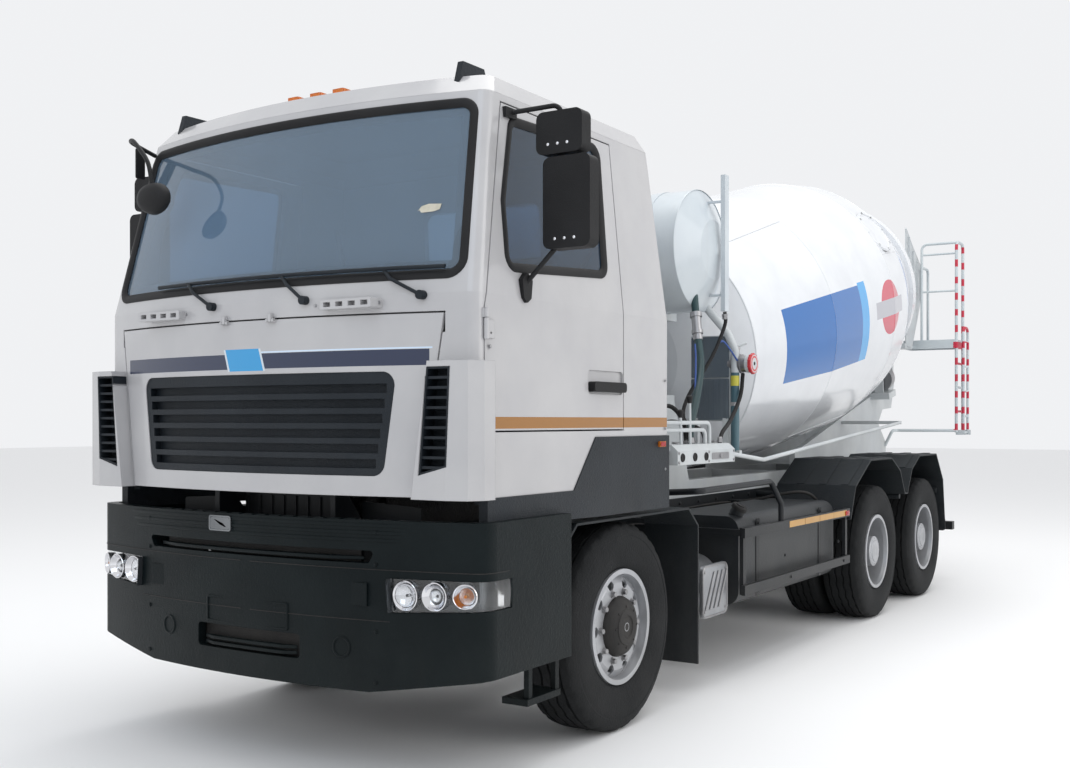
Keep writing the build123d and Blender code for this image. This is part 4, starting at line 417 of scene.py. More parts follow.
# %% Drum paint with its patches
# The dust low on the drum is partly painted shade: it darkens the drum's underside.
drum_paint = finish("drum_paint", (0.66, 0.68, 0.71), (0.72, 0.74, 0.765), 0.22, coat=0.7, grain=(500, 0.010),
                    dust=(1.75, 0.45), runs=0.04, edge=0.006)
tree = drum_paint.node_tree
own = coordinates(drum_paint)
unrolled = add(tree, "Group", {"node_tree": DRUM_SPREAD}, Vector=own["Object"], Normal=own["Normal"]).outputs
surface = add(tree, "CombineXYZ", X=unrolled["Along"], Z=unrolled["Round"]).outputs[0]
# (colour, from and to along the axis in metres, from and to round it in degrees)
patches = [
    ((0.002, 0.12, 0.40), -1.775, -0.45, -19.5, 13.5),
    ((0.05, 0.34, 0.70), -0.45, -0.30, -19.5, 14.5),
    ((0.05, 0.28, 0.66), 0.80, 0.93, -6.0, 22.0),
    ((0.01, 0.10, 0.40), 0.93, 1.20, -12.0, 20.0),
]
for colour, start, end, low_turn, high_turn in patches:
    paint_over(drum_paint, colour, Vector=surface, Low=(start, -1, math.radians(low_turn)),
               High=(end, 1, math.radians(high_turn)))
print("patches on each side of the drum:", len(patches))

# %% A plain roundel with a bar across it, and a darker inside
ROUNDEL_ALONG, ROUNDEL_RADIUS, DRUM_RADIUS_THERE = 0.22, 0.235, 1.14    # metres
out_from = vectors(tree, "SUBTRACT", surface, (ROUNDEL_ALONG, 0, 0))
shaped = vectors(tree, "MULTIPLY", out_from.outputs[0], (1, 0, DRUM_RADIUS_THERE))
far = add(tree, "VectorMath", {"operation": "LENGTH"}, _0=shaped.outputs[0]).outputs["Value"]
mix_in(drum_paint, maths(tree, "LESS_THAN", far, ROUNDEL_RADIUS), (0.55, 0.05, 0.09, 1))
BAR_HALF = math.radians(3.6)
paint_over(drum_paint, (0.42, 0.42, 0.46), Vector=surface, Low=(-0.13, -1, -BAR_HALF),
           High=(0.57, 1, BAR_HALF))
# The drum's inward faces get a darker brown-grey colour.
darker_inside = place_group(tree, MOTTLING, Vector=surface, Scale=6.0, First=(0.10, 0.095, 0.085, 1),
                      Second=(0.22, 0.21, 0.19, 1))
mix_in(drum_paint, unrolled["Inside"], darker_inside)
print("a roundel", 2 * ROUNDEL_RADIUS, "m across on each side")

# %% [markdown]
# ## Plastics, rubber and metals
# The bumper, arches and grille are one moulded plastic, blue-black and finely grained. The
# chassis below is satin paint, dustier and rougher. The mixer's own frame, its ladder and its
# hopper are painted off-white, but with a thinner coat than the cab's, so dust and rust show
# more. Castings under the truck are dark and rough, and the rims are silver paint.

# %% Paint and plastic
frame_paint = finish("frame_paint", (0.46, 0.49, 0.51), (0.54, 0.57, 0.58), 0.38, grain=(400, 0.02),
                     dust=(2.2, 0.35), runs=0.16, edge=0.004)
tank_paint = finish("tank_paint", (0.50, 0.55, 0.59), (0.56, 0.61, 0.64), 0.28, coat=0.4, grain=(400, 0.012),
                    dust=(3.0, 0.10), runs=0.10, edge=0.004)
ladder_paint = finish("ladder_paint", (0.46, 0.51, 0.54), (0.54, 0.59, 0.61), 0.38, grain=(400, 0.02),
                      dust=(2.4, 0.2), runs=0.12)
bumper_plastic = finish("bumper_plastic", (0.003, 0.006, 0.007), (0.006, 0.010, 0.011), 0.36,
                        grain=(260, 0.08), dust=(0.9, 0.03), edge=0.005, shine=0.12)
trim_plastic = finish("trim_plastic", (0.008, 0.012, 0.017), (0.013, 0.018, 0.024), 0.45, grain=(300, 0.10),
                      dust=(1.7, 0.10), edge=0.004, shine=0.25)
guard_plastic = finish("guard_plastic", (0.006, 0.009, 0.012), (0.010, 0.014, 0.017), 0.50, grain=(240, 0.12),
                       dust=(1.5, 0.07), runs=0.04, edge=0.005, shine=0.25)
chassis_paint = finish("chassis_paint", (0.004, 0.006, 0.008), (0.008, 0.010, 0.013), 0.40, grain=(200, 0.05),
                       dust=(1.3, 0.08), runs=0.03, edge=0.003, shine=0.3)
print(len(bpy.data.materials), "materials with the plastics")

# %% Metals and rubber
casting = finish("casting", (0.012, 0.012, 0.013), (0.024, 0.023, 0.022), 0.62, grain=(120, 0.25),
                 dust=(1.2, 0.45), shine=0.3)
rim_paint = finish("rim_paint", (0.36, 0.37, 0.39), (0.46, 0.47, 0.49), 0.34, metal=0.55, grain=(300, 0.02),
                   dust=(0.9, 0.25), edge=0.003)
bare_steel = finish("bare_steel", (0.26, 0.26, 0.27), (0.42, 0.42, 0.43), 0.36, metal=0.9, grain=(180, 0.05),
                    dust=(1.5, 0.20), runs=0.10)
dull_alloy = finish("dull_alloy", (0.010, 0.013, 0.016), (0.018, 0.021, 0.024), 0.42, grain=(160, 0.06),
                    dust=(1.2, 0.10), shine=0.35)
shield_alloy = finish("shield_alloy", (0.30, 0.31, 0.33), (0.42, 0.43, 0.45), 0.42, metal=0.8,
                      grain=(160, 0.06), dust=(0.8, 0.35))
cabin_plastic = finish("cabin_plastic", (0.035, 0.037, 0.040), (0.055, 0.057, 0.060), 0.6, grain=(500, 0.10),
                       dust=(0.1, 0.0), shine=0.3)
soft_black = finish("soft_black", (0.008, 0.008, 0.009), (0.014, 0.014, 0.015), 0.55, grain=(400, 0.06),
                    dust=(2.0, 0.10), shine=0.25)
tread_rubber = finish("tread_rubber", (0.005, 0.006, 0.007), (0.010, 0.011, 0.012), 0.68, grain=(220, 0.16),
                      dust=(1.1, 0.14), dusty=(0.07, 0.068, 0.065), scale=5.0, shine=0.2)
print(len(bpy.data.materials), "materials with the metals and the rubber")

# %% Small things in their own colours
red_paint = finish("red_paint", (0.50, 0.02, 0.03), (0.62, 0.04, 0.05), 0.35, coat=0.3, dust=(2.6, 0.15))
green_hose = finish("green_hose", (0.008, 0.035, 0.040), (0.014, 0.05, 0.055), 0.38, grain=(500, 0.05),
                    dust=(2.2, 0.10))
blue_hose = finish("blue_hose", (0.02, 0.06, 0.24), (0.03, 0.09, 0.32), 0.40, grain=(500, 0.05),
                   dust=(2.2, 0.10))
pipe_blue = finish("pipe_blue", (0.03, 0.09, 0.12), (0.05, 0.12, 0.15), 0.40, grain=(300, 0.03),
                   dust=(2.2, 0.15), runs=0.1)
yellow_tape = finish("yellow_tape", (0.50, 0.46, 0.05), (0.58, 0.52, 0.08), 0.40, dust=(2.2, 0.15))
old_paper = finish("old_paper", (0.50, 0.47, 0.38), (0.62, 0.58, 0.48), 0.8, dust=(3.0, 0.1), scale=30.0)
dark_chrome = finish("dark_chrome", (0.16, 0.17, 0.18), (0.24, 0.25, 0.26), 0.25, metal=0.9, dust=(1.3, 0.1))
blade_steel = finish("blade_steel", (0.12, 0.115, 0.105), (0.22, 0.21, 0.19), 0.65, metal=0.2,
                     grain=(90, 0.3), dust=(4.0, 0.5))
orange_tape = finish("orange_tape", (0.42, 0.20, 0.012), (0.50, 0.25, 0.02), 0.35, coat=0.4, dust=(1.4, 0.25))
grey_panel = finish("grey_panel", (0.075, 0.10, 0.125), (0.10, 0.13, 0.155), 0.5, dust=(2.4, 0.2), runs=0.12)
print(len(bpy.data.materials), "materials so far")

# %% [markdown]
# ## Warning tape on the ladder
# The outer rails of the ladder are wrapped in short strips of red tape, put on by hand and so
# not quite even. The banding group paints them, and a marked area keeps them off the inner post
# and the platform. Lenses are clear plastic with colour in them, and the windows are tinted
# glass: a real thickness, so the tint deepens by itself.

# %% Ladder tape
STRIP_PITCH = 0.17
tree, where = ladder_paint.node_tree, coordinates(ladder_paint)["Object"]
rails = place_group(tree, MARKED_AREA, Vector=where, Low=corner(1066, 7120, 1500),
                    High=corner(1240, 7470, 3440))
strips = place_group(tree, BANDING, Vector=where, Pitch=STRIP_PITCH, Share=0.42)
mix_in(ladder_paint, maths(tree, "MULTIPLY", rails, strips), (0.48, 0.02, 0.05, 1))
print("red strips every", STRIP_PITCH, "m on", ladder_paint.name)


# %% Glass and lenses
def clear(name, tint, rough=0.02, density=1.0, film=0.10):
    """Tinted glass or clear plastic, faintly mottled so that it isn't perfect."""
    made, tree, shader, where = new_material(name)
    second = tuple(min(1, c * 1.06) for c in tint)
    colour = place_group(tree, MOTTLING, Vector=where, Scale=2.0, First=(*tint, 1), Second=(*second, 1))
    cloudy = place_group(tree, LOW_DUST_AND_SHADE, Vector=where, Height=4.0, Amount=film)
    wire(tree, shader, {"Base Color": colour, "Roughness": maths(tree, "ADD", cloudy, rough),
                        "Transmission Weight": density, "IOR": 1.52})
    made.diffuse_color = (*tint, 0.4)
    return made


lamp_grey = finish("lamp_grey", (0.10, 0.11, 0.12), (0.16, 0.17, 0.18), 0.25, metal=0.7, grain=(200, 0.02),
                   dust=(1.2, 0.05))
window_glass = clear("window_glass", (0.13, 0.22, 0.34), density=0.9)
screen_glass = clear("screen_glass", (0.30, 0.42, 0.55), 0.0, 0.72, film=0.0)
clear_lens = clear("clear_lens", (0.93, 0.94, 0.95))
amber_lens = clear("amber_lens", (0.85, 0.24, 0.02), 0.12, 0.55)
red_lens = clear("red_lens", (0.55, 0.02, 0.02), 0.15, 0.45)
chrome = finish("chrome", (0.72, 0.72, 0.74), (0.80, 0.80, 0.82), 0.08, metal=1.0, grain=(80, 0.004),
                dust=(1.2, 0.08))
print("glass:", window_glass.name, clear_lens.name, amber_lens.name, red_lens.name)

# %% [markdown]
# ## Seat cloth
# The seats are covered in a plain weave. Two wave textures that cross, one for the warp and one
# for the weft, make the height, and the same waves paint shade into the hollows between threads.

# %% Seat cloth
WEAVE, given, out = new_group("weave", [("Vector", (0, 0, 0)), ("Threads", 260.0)], ["Height"])
warp = add(WEAVE, "TexWave", {"bands_direction": "X"}, Vector=given["Vector"], Scale=given["Threads"],
           Distortion=1.0)
weft = add(WEAVE, "TexWave", {"bands_direction": "DIAGONAL"}, Vector=given["Vector"],
           Scale=given["Threads"], Distortion=1.0)
WEAVE.links.new(maths(WEAVE, "MAXIMUM", warp.outputs["Fac"], weft.outputs["Fac"]), out["Height"])

seat_cloth, tree, shader, where = new_material("seat_cloth")
threads = place_group(tree, WEAVE, Vector=where)
cloth_colour = place_group(tree, MOTTLING, Vector=where, Scale=9.0, First=(0.035, 0.04, 0.055, 1),
                           Second=(0.055, 0.06, 0.075, 1))
bump = add(tree, "Bump", Height=threads, Strength=0.5, Distance=0.0006)
# The dark colour in the hollows between threads is painted shade.
wire(tree, shader, {"Base Color": blend(tree, threads, (0.02, 0.022, 0.03, 1), cloth_colour),
                    "Normal": bump.outputs[0], "Roughness": 0.92, "Sheen Weight": 0.4})
print("cloth:", seat_cloth.name)

# %% [markdown]
# ## Dressing the CAD nodes
# Each CAD node takes the finish that its real part has. A table keeps that readable, and the
# loop stops with an error if a node is left out, which is easier than hunting for grey spots.

# %% Finishes of the CAD nodes
node_finish = {}
for paint, names in (
        (chassis_paint, "chassis_frame side_guards rear_bumper chute_cylinder"),
        (casting, "engine front_axle rear_axles"),
        (frame_paint, "mixer_frame chute_stand drum_gearbox water_inlet controls hopper chute_arm chute"),
        (cab_paint, "cab_shell cab_roof corner_fairings"), (flap_paint, "front_flap"),
        (ladder_paint, "ladder ladder_fold"), (drum_paint, "drum"), (tank_paint, "water_tank"),
        (bumper_plastic, "front_bumper"), (guard_plastic, "mudguards"), (trim_plastic, "cab_trim grille"),
        (dull_alloy, "side_tanks"), (shield_alloy, "exhaust"), (bare_steel, "roller_left roller_right"),
        (chrome, "chute_rod"), (green_hose, "hoses"), (screen_glass, "cab_glass"), (clear_lens, "headlamps"),
        (red_lens, "rear_lamps"), (amber_lens, "cab_lamps"), (seat_cloth, "seats"),
        (cabin_plastic, "cab_interior")):
    node_finish.update({name: paint for name in names.split()})
for side, sign in SIDES:
    node_finish.update({
        f"door_{side}": cab_paint, f"door_glass_{side}": window_glass, f"mirror_{side}": soft_black,
        f"knuckle_{side}": casting, f"tyre_front_{side}": tread_rubber, f"rim_front_{side}": rim_paint,
    })
    for number in (1, 2):
        node_finish[f"tyres_rear{number}_{side}"] = tread_rubber
        node_finish[f"rims_rear{number}_{side}"] = rim_paint
for name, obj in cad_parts.items():
    obj.data.materials.clear()
    obj.data.materials.append(node_finish[name])
print(len(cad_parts), "nodes dressed")

# %% [markdown]
# ## Shapes in truck millimetres
# The pieces below are short lists of rings, paths and profiles. A small collector takes them in
# the truck's own measures and turns them into one mesh, already in place. That keeps every
# piece at the scene's origin, so it needs no transform, and like parts share one object.


# %% A collector of shapes
LEFT, REARWARD, AHEAD, UP = (1, 0, 0), (0, 1, 0), (0, -1, 0), (0, 0, 1)


def circle(steps, start=0):
    """Turns evenly round a circle, the first one at a part of a step."""
    return [math.tau * (k + start) / steps for k in range(steps)]


class Form:
    """Points and faces in truck millimetres, gathered before they become a mesh."""

    def __init__(self):
        self.points, self.faces = [], []

    def add(self, points, faces):
        first = len(self.points)
        self.points += [tuple(p) for p in points]
        self.faces += [tuple(first + k for k in face) for face in faces]
        return self

    def skin(self, rings, closed=True, capped=False):
        """Faces between rings that have equally many points."""
        count, rows = len(rings[0]), len(rings)
        faces = [(r * count + k, r * count + (k + 1) % count, (r + 1) * count + (k + 1) % count,
                  (r + 1) * count + k) for r in range(rows - 1)
                 for k in range(count if closed else count - 1)]
        if capped:
            faces += [tuple(range(count)), tuple((rows - 1) * count + k for k in range(count))]
        return self.add([p for ring in rings for p in ring], faces)

    def turned(self, centre, axis, profile, steps=32):
        """A profile of (along the axis, radius) pairs, swept round the axis."""
        centre, axis = Vector(centre), Vector(axis).normalized()
        side = axis.orthogonal().normalized()
        other = axis.cross(side)
        round_axis = [side * math.cos(t) + other * math.sin(t) for t in circle(steps)]
        return self.skin([[centre + axis * a + way * max(r, 0.01) for way in round_axis] for a, r in profile])

    def tube(self, path, radius, sides=10, closed=False):
        """A round section carried along a path without twisting."""
        path = [Vector(p) for p in path]
        rings, across = [], None
        for k, point in enumerate(path):
            before = path[k - 1] if k or closed else point
            after = path[(k + 1) % len(path)] if k < len(path) - 1 or closed else point
            ahead = (after - before).normalized()
            across = ahead.orthogonal() if across is None else across - ahead * across.dot(ahead)
            across = across.normalized()
            up = ahead.cross(across)
            rings.append([point + (across * math.cos(t) + up * math.sin(t)) * radius for t in circle(sides)])
        return self.skin(rings + rings[:1] if closed else rings, capped=not closed)

    def slab(self, outline, low, high, axis):
        """An outline pushed from low to high along x, y or z; the outline gives the other two, in order."""
        def place(pair, level):
            return {"x": (level, *pair), "y": (pair[0], level, pair[1]), "z": (*pair, level)}[axis]
        return self.skin([[place(p, level) for p in outline] for level in (low, high)], capped=True)

    def bolt(self, centre, axis, radius, height):
        """A washer with a six-sided head on it."""
        centre, axis = Vector(centre), Vector(axis).normalized()
        washer, thick = radius * 1.35, height * 0.2
        self.turned(centre, axis, [(-1, 0), (-1, washer), (thick, washer), (thick, 0)], 14)
        return self.turned(centre, axis, [(0, radius), (height * 0.85, radius), (height, radius * 0.8),
                                          (height, 0)], 6)

    def bolts(self, places, axis, radius, height):
        """The same bolt at several places."""
        for place in places:
            self.bolt(place, axis, radius, height)
        return self

    def mirrored(self):
        """The same again on the truck's other side."""
        return self.add([(-x, y, z) for x, y, z in list(self.points)], list(self.faces))


print("a form has", [name for name in vars(Form) if name[0] != "_"])

# %% From a form to a piece
SAME_POINT = 0.00002    # metres


def build(form, name, body, material, angle=38, instead=()):
    """One object from a form: it rides a body and takes a finish."""
    mesh = bpy.data.meshes.new(name)
    mesh.from_pydata([spot(*p) for p in form.points], [], form.faces)
    work = bmesh.new()
    work.from_mesh(mesh)
    bmesh.ops.remove_doubles(work, verts=work.verts, dist=SAME_POINT)
    bmesh.ops.recalc_face_normals(work, faces=work.faces)
    work.to_mesh(mesh)
    work.free()
    mesh.materials.append(material)
    mesh.shade_smooth()
    mesh.set_sharp_from_angle(angle=math.radians(angle))
    obj = bpy.data.objects.new(name, mesh)
    bpy.context.scene.collection.objects.link(obj)
    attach(obj, body)
    if instead:
        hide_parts(*instead)
    print(name, "has", len(mesh.polygons), "faces")
    return obj


print("points nearer than", SAME_POINT, "m become one")


# %% Flat outlines
def oblong(low_u, high_u, low_v, high_v):
    """A four-cornered outline."""
    return [(low_u, low_v), (high_u, low_v), (high_u, high_v), (low_u, high_v)]


def rounded(outline, radius, steps=5):
    """A flat outline with its corners turned into arcs."""
    done = []
    for k, corner_point in enumerate(outline):
        here = Vector(corner_point)
        before, after = Vector(outline[k - 1]), Vector(outline[(k + 1) % len(outline)])
        to_before, to_after = (before - here).normalized(), (after - here).normalized()
        half = to_before.angle(to_after) / 2
        reach = min(radius / math.tan(half), (before - here).length * 0.48, (after - here).length * 0.48)
        inward = (to_before + to_after).normalized()
        middle = here + inward * (reach / math.cos(half))
        start, end = here + to_before * reach, here + to_after * reach
        size = (start - middle).length
        for s in range(steps + 1):
            done.append(middle + ((start - middle).lerp(end - middle, s / steps)).normalized() * size)
    return [tuple(p) for p in done]


def outset(outline, by):
    """A closed flat outline moved outwards by a distance, whichever way it runs."""
    area = sum(a[0] * b[1] - b[0] * a[1] for a, b in zip(outline, outline[1:] + outline[:1]))
    way = 1 if area > 0 else -1
    moved = []
    for k, here in enumerate(outline):
        ahead = Vector(outline[(k + 1) % len(outline)]) - Vector(outline[k - 1])
        moved.append((here[0] + way * by * ahead.y / ahead.length,
                      here[1] - way * by * ahead.x / ahead.length))
    return moved


print("a square with rounded corners has", len(rounded(oblong(0, 100, 0, 100), 10)), "points")

# %% [markdown]
# ## Tyres
# A truck tyre is a ring of rubber with a rounded wall, a raised bead and wide ribs with zigzag
# grooves. A texture could fake the tread, but it shows in outline, so it is turned as a mesh: one
# cross-section, whose ribs and grooves shift sideways a little at each step round the wheel.

# %% Tyre sections
WALL = [(124, 286), (127, 300), (134, 308), (138, 318), (143, 330), (148, 352), (153, 385), (156, 425),
        (155, 452), (152, 470), (154, 474), (151, 486), (148, 500), (140, 515)]    # half width, radius
TREAD = [(133, 527, 0), (126, 532, 0), (92, 537.6, 0), (90, 521, 1), (80, 521, 1), (78, 538, 1), (34, 538, 1),
         (32, 522, 1), (23, 522, 1), (21, 538, 1)]    # half width, radius, how far it zigzags
SHOULDER = 120    # half width beyond which the tread is notched


def tyre_ring(turn, centre_x, axle_y, step):
    """The tyre's section at one turn about its axle."""
    zig = 4 if step % 4 < 2 else -4
    notch = 9 if step % 4 == 0 else 0

    def half(way):
        return [(way * w, r) for w, r in WALL] + [
            (way * w + zig * z, r - (notch if w > SHOULDER else 0)) for w, r, z in TREAD]

    return [(centre_x + w, axle_y + r * math.sin(turn), HUB_Z - r * math.cos(turn))
            for w, r in half(-1) + half(1)[::-1]]


def tyre(form, centre_x, axle_y, steps=120):
    """A whole tyre, added to a form."""
    rings = [tyre_ring(turn, centre_x, axle_y, k) for k, turn in enumerate(circle(steps))]
    return form.skin(rings + rings[:1], closed=False)


REAR_AXLES = (4130, 5530)
FRONT_X, TWIN_X, INNER_X, OUTER_X = 1010, 884, 709, 1059    # middles of the wheels, twins and tyres
print("section of", 2 * (len(WALL) + len(TREAD)), "points")

# %% Make the tyres
for side, sign in SIDES:
    build(tyre(Form(), sign * FRONT_X, 0), f"tyre_tread_front_{side}", f"wheel_front_{side}", tread_rubber,
          instead=(f"tyre_front_{side}",), angle=30)
    for number, axle_y in enumerate(REAR_AXLES, 1):
        pair = tyre(tyre(Form(), sign * INNER_X, axle_y), sign * OUTER_X, axle_y)
        build(pair, f"tyre_treads_rear{number}_{side}", f"wheels_rear{number}_{side}", tread_rubber,
              instead=(f"tyres_rear{number}_{side}",), angle=30)

# %% [markdown]
# ## Hubs and wheel nuts
# The steered wheels carry a black hub in a ring of nuts. The driven ones have a bright raised
# cap with bolts round its rim, and a nut between every two hand holes.


# %% Hubs
def bolt_ring(form, x, axle_y, reach, count, start, sign, radius, height):
    """Bolts evenly round an axle: their reach from it and count, the first at a part of a step."""
    form.bolts([(x, axle_y + reach * math.sin(t), HUB_Z + reach * math.cos(t)) for t in circle(count, start)],
               (sign, 0, 0), radius, height)


NUTS = 10
FRONT_HUB = [(118, 157), (123, 157), (152, 143), (166, 118), (170, 94), (175, 90), (176, 60), (171, 55),
             (171, 20), (173.5, 0)]    # outwards from the wheel's middle, radius
REAR_HUB = [(284, 122), (290, 122), (296, 116), (300, 88), (306, 84), (307, 40), (303, 34), (305, 0)]
for side, sign in SIDES:
    middle = sign * FRONT_X
    hub, nuts = Form().turned((middle, 0, HUB_Z), (sign, 0, 0), FRONT_HUB, 48), Form()
    bolt_ring(nuts, middle + sign * 118, 0, 180, NUTS, 0.5, sign, 15, 22)
    bolt_ring(hub, middle + sign * 160, 0, 106, 8, 0, sign, 7, 12)
    build(hub, f"hub_cover_{side}", f"wheel_front_{side}", soft_black)
    build(nuts, f"wheel_nuts_front_{side}", f"wheel_front_{side}", bare_steel)
for side, sign in SIDES:
    for number, axle_y in enumerate(REAR_AXLES, 1):
        middle = sign * TWIN_X
        cap, nuts = Form().turned((middle, axle_y, HUB_Z), (sign, 0, 0), REAR_HUB, 40), Form()
        bolt_ring(nuts, middle + sign * 17, axle_y, 178, NUTS, 0.5, sign, 15, 30)
        bolt_ring(cap, middle + sign * 292, axle_y, 103, 12, 0, sign, 7, 9)
        build(cap, f"hub_cap_rear{number}_{side}", f"wheels_rear{number}_{side}", rim_paint)
        build(nuts, f"wheel_nuts_rear{number}_{side}", f"wheels_rear{number}_{side}", bare_steel)

# %% [markdown]
# ## Window rubbers
# Each pane sits in a black rubber that laps over the painted edge. The rubber is one strip of a
# small rounded section, carried round the opening. It follows the cab's bowed front, or its
# leaning side, because each of its points is laid on that surface.

# %% The cab's faces
CAB_FRONT, CAB_BELT, CAB_EAVES, CAB_HALF, CAB_LEAN = -1460, 2150, 3060, 1190, 90


def above_belt(z):
    """Nought up to the cab's belt line, and one at its eaves."""
    return min(max((z - CAB_BELT) / (CAB_EAVES - CAB_BELT), 0), 1)


def side_face(z):
    """How far out the cab's side stands at a height."""
    return CAB_HALF - CAB_LEAN * above_belt(z)


def front_face(x, z):
    """How far forward the cab's bowed front stands at a point."""
    half, middle, sag = side_face(z), CAB_FRONT + 215 * above_belt(z), 160 - 15 * above_belt(z)
    radius = (half * half + sag * sag) / (2 * sag)
    return middle + radius - math.sqrt(radius * radius - x * x)


# the rubber's section: outwards, and proud of the face
RUBBER = [(17, -2), (15, 5), (6, 7), (-6, 6), (-18, 2), (-27, -7), (-24, -14)]
print("front at the roof", round(front_face(0, CAB_EAVES)), "side there", side_face(CAB_EAVES))

# %% Windscreen and side rubbers
screen = rounded([(-1117, 2225), (-1052, 3012), (1052, 3012), (1117, 2225)], 70, 8)
screen_line = []        # the same outline in steps short enough to follow the bow
for a, b in zip(screen, screen[1:] + screen[:1]):
    pieces = max(1, round(math.dist(a, b) / 80))
    screen_line += [(a[0] + (b[0] - a[0]) * k / pieces, a[1] + (b[1] - a[1]) * k / pieces)
                    for k in range(pieces)]
rings = [[(x, front_face(x, z) - proud, z) for x, z in outset(screen_line, out)] for out, proud in RUBBER]
build(Form().skin(rings), "windscreen_rubber", "cab", soft_black, angle=60)

door_window = rounded([(-1061, 2272), (-1058, 2572), (-944, 2960), (-174, 2985), (-200, 2330)], 60, 6)
for side, sign in SIDES:
    rings = [[(sign * (side_face(z) + proud), y, z) for y, z in outset(door_window, out)]
             for out, proud in RUBBER]
    build(Form().skin(rings), f"door_window_rubber_{side}", f"door_{side}", soft_black,
          angle=60)

# %% [markdown]
# ## Headlamps
# A solid block of glass looks like ice. A real headlamp is a clear cover a few millimetres
# thick, with chromed bowls in a dark housing behind it. The cover follows the bumper: a wide
# arc across the front, a tight one round the corner, and a straight side.

# %% The bumper's outline in plan
BOW_MIDDLE_Y, BOW_R, CORNER_R, SIDE_X = 3200.6, 4680.6, 90, 1250


def bumper_line(inset, first_x, last_y, step=22):
    """Points along the bumper's face at an inset, from first_x across and round to last_y."""
    wide, tight = BOW_R - inset, CORNER_R - inset
    turn_x = SIDE_X - CORNER_R
    turn_y = BOW_MIDDLE_Y - math.sqrt((BOW_R - CORNER_R) ** 2 - turn_x ** 2)
    lean = math.atan2(turn_x, BOW_MIDDLE_Y - turn_y)
    first = math.asin(first_x / wide)
    count = max(2, round((lean - first) * wide / step))
    line = [(wide * math.sin(first + (lean - first) * k / count),
             BOW_MIDDLE_Y - wide * math.cos(first + (lean - first) * k / count)) for k in range(count + 1)]
    for k in range(1, 9):
        turn = lean + (math.pi / 2 - lean) * k / 8
        line.append((turn_x + tight * math.sin(turn), turn_y - tight * math.cos(turn)))
    while line[-1][1] < last_y - step:
        line.append((SIDE_X - inset, line[-1][1] + step))
    return line + [(SIDE_X - inset, last_y)]


print("bumper line has", len(bumper_line(6, 806, -1132)), "points")

# %% Headlamp cover
LAMP_LOW, LAMP_HIGH, LAMP_START_X, LAMP_END_Y = 779, 924, 817, -1133
LAMP_SLOPE = 30 / 585


def lamp_floor(x):
    """The height of the lamp's lower edge, which rises outwards."""
    return LAMP_LOW + LAMP_SLOPE * (x - 815)


def lamp_sheet(form, inset, swell=0.0, rows=6):
    """A sheet over the whole lamp at an inset; a swell makes it round outwards in the middle."""
    rings = []
    for r in range(rows + 1):
        up = r / rows
        line = bumper_line(inset - swell * math.sin(math.pi * up), LAMP_START_X - 12 * up, LAMP_END_Y)
        rings.append([(x, y, lamp_floor(x) + (LAMP_HIGH - lamp_floor(x)) * up) for x, y in line])
    return form.skin(rings, closed=False), rings


cover, outer = lamp_sheet(Form(), 7, 4)
cover, inner = lamp_sheet(cover, 10, 4)
for near, far in ((outer[0], inner[0]), (outer[-1], inner[-1])):
    cover.skin([near, far], closed=False)
ends = [[row[k] for row in sheet] for k in (0, -1) for sheet in (outer, inner)]
cover.skin(ends[:2], closed=False).skin(ends[2:], closed=False)
build(cover.mirrored(), "headlamp_covers", "chassis", clear_lens, instead=("headlamps",),
      angle=50)

# %% Headlamp housing
housing, back = lamp_sheet(Form(), 74)
housing = lamp_sheet(housing, 12)[0]
housing.faces = [f for f in housing.faces if max(f) < len(back) * len(back[0])]     # the front stays open
for at_floor in (True, False):
    near, far = [[(x, y, lamp_floor(x) + 1 if at_floor else LAMP_HIGH - 1)
                  for x, y in bumper_line(inset, LAMP_START_X, LAMP_END_Y)] for inset in (13, 74)]
    last = min(len(near), len(far)) - 1
    housing.skin([near[:last] + near[-1:], far[:last] + far[-1:]], closed=False)
inner_end = [(815, -1438, LAMP_LOW), (805, -1438, LAMP_HIGH), (805, -1372, LAMP_HIGH), (815, -1372, LAMP_LOW)]
housing.add(inner_end, [(0, 1, 2, 3)])
build(housing.mirrored(), "headlamp_housings", "chassis", lamp_grey)

# %% Bowls, lenses and bulbs
INNER_AIM, MIDDLE_AIM, OUTER_AIM = (0.03, -1, 0), (0.10, -1, 0), (0.45, -1, 0)
bowls = Form()
for x, y, radius, ahead in ((884, -1376, 60, INNER_AIM), (1028, -1362, 56, MIDDLE_AIM),
                            (1150, -1322, 48, OUTER_AIM)):
    bowls.turned((x, y, 855 + (x - 884) * 0.03), ahead,
                 [(-6, 6), (-4, radius * 0.35), (4, radius * 0.66), (16, radius * 0.9), (30, radius),
                  (33, radius + 3), (30, radius + 6), (-8, radius + 6)], 40)
build(bowls.mirrored(), "headlamp_bowls", "chassis", chrome)
lenses = Form().turned((1028, -1352, 859), MIDDLE_AIM, [(0, 40), (14, 39), (24, 30), (29, 15), (31, 0)], 32)
lenses.turned((884, -1370, 855), INNER_AIM, [(0, 7), (22, 7), (27, 4), (28, 0)], 16)
build(lenses.mirrored(), "headlamp_lenses", "chassis", clear_lens)
rings = Form()
for radius in (47, 41):
    rings.turned((1028, -1346, 859), MIDDLE_AIM, [(-4, radius - 3), (4, radius - 2), (4, radius + 2),
                                                  (-4, radius + 3)], 40)
build(rings.mirrored(), "projector_rings", "chassis", soft_black)
bulb = Form().turned((1150, -1324, 863), OUTER_AIM, [(0, 7), (16, 8), (23, 5), (25, 0)], 16)
build(bulb.mirrored(), "indicator_bulbs", "chassis", amber_lens)

# %% [markdown]
# ## The bumper's small things
# The lower bumper carries round covers for towing eyes, a flat place for a plate, and a step
# with raised ribs on top. Dark sheets close its two slots from behind: they stand in for the
# shade inside the slots.


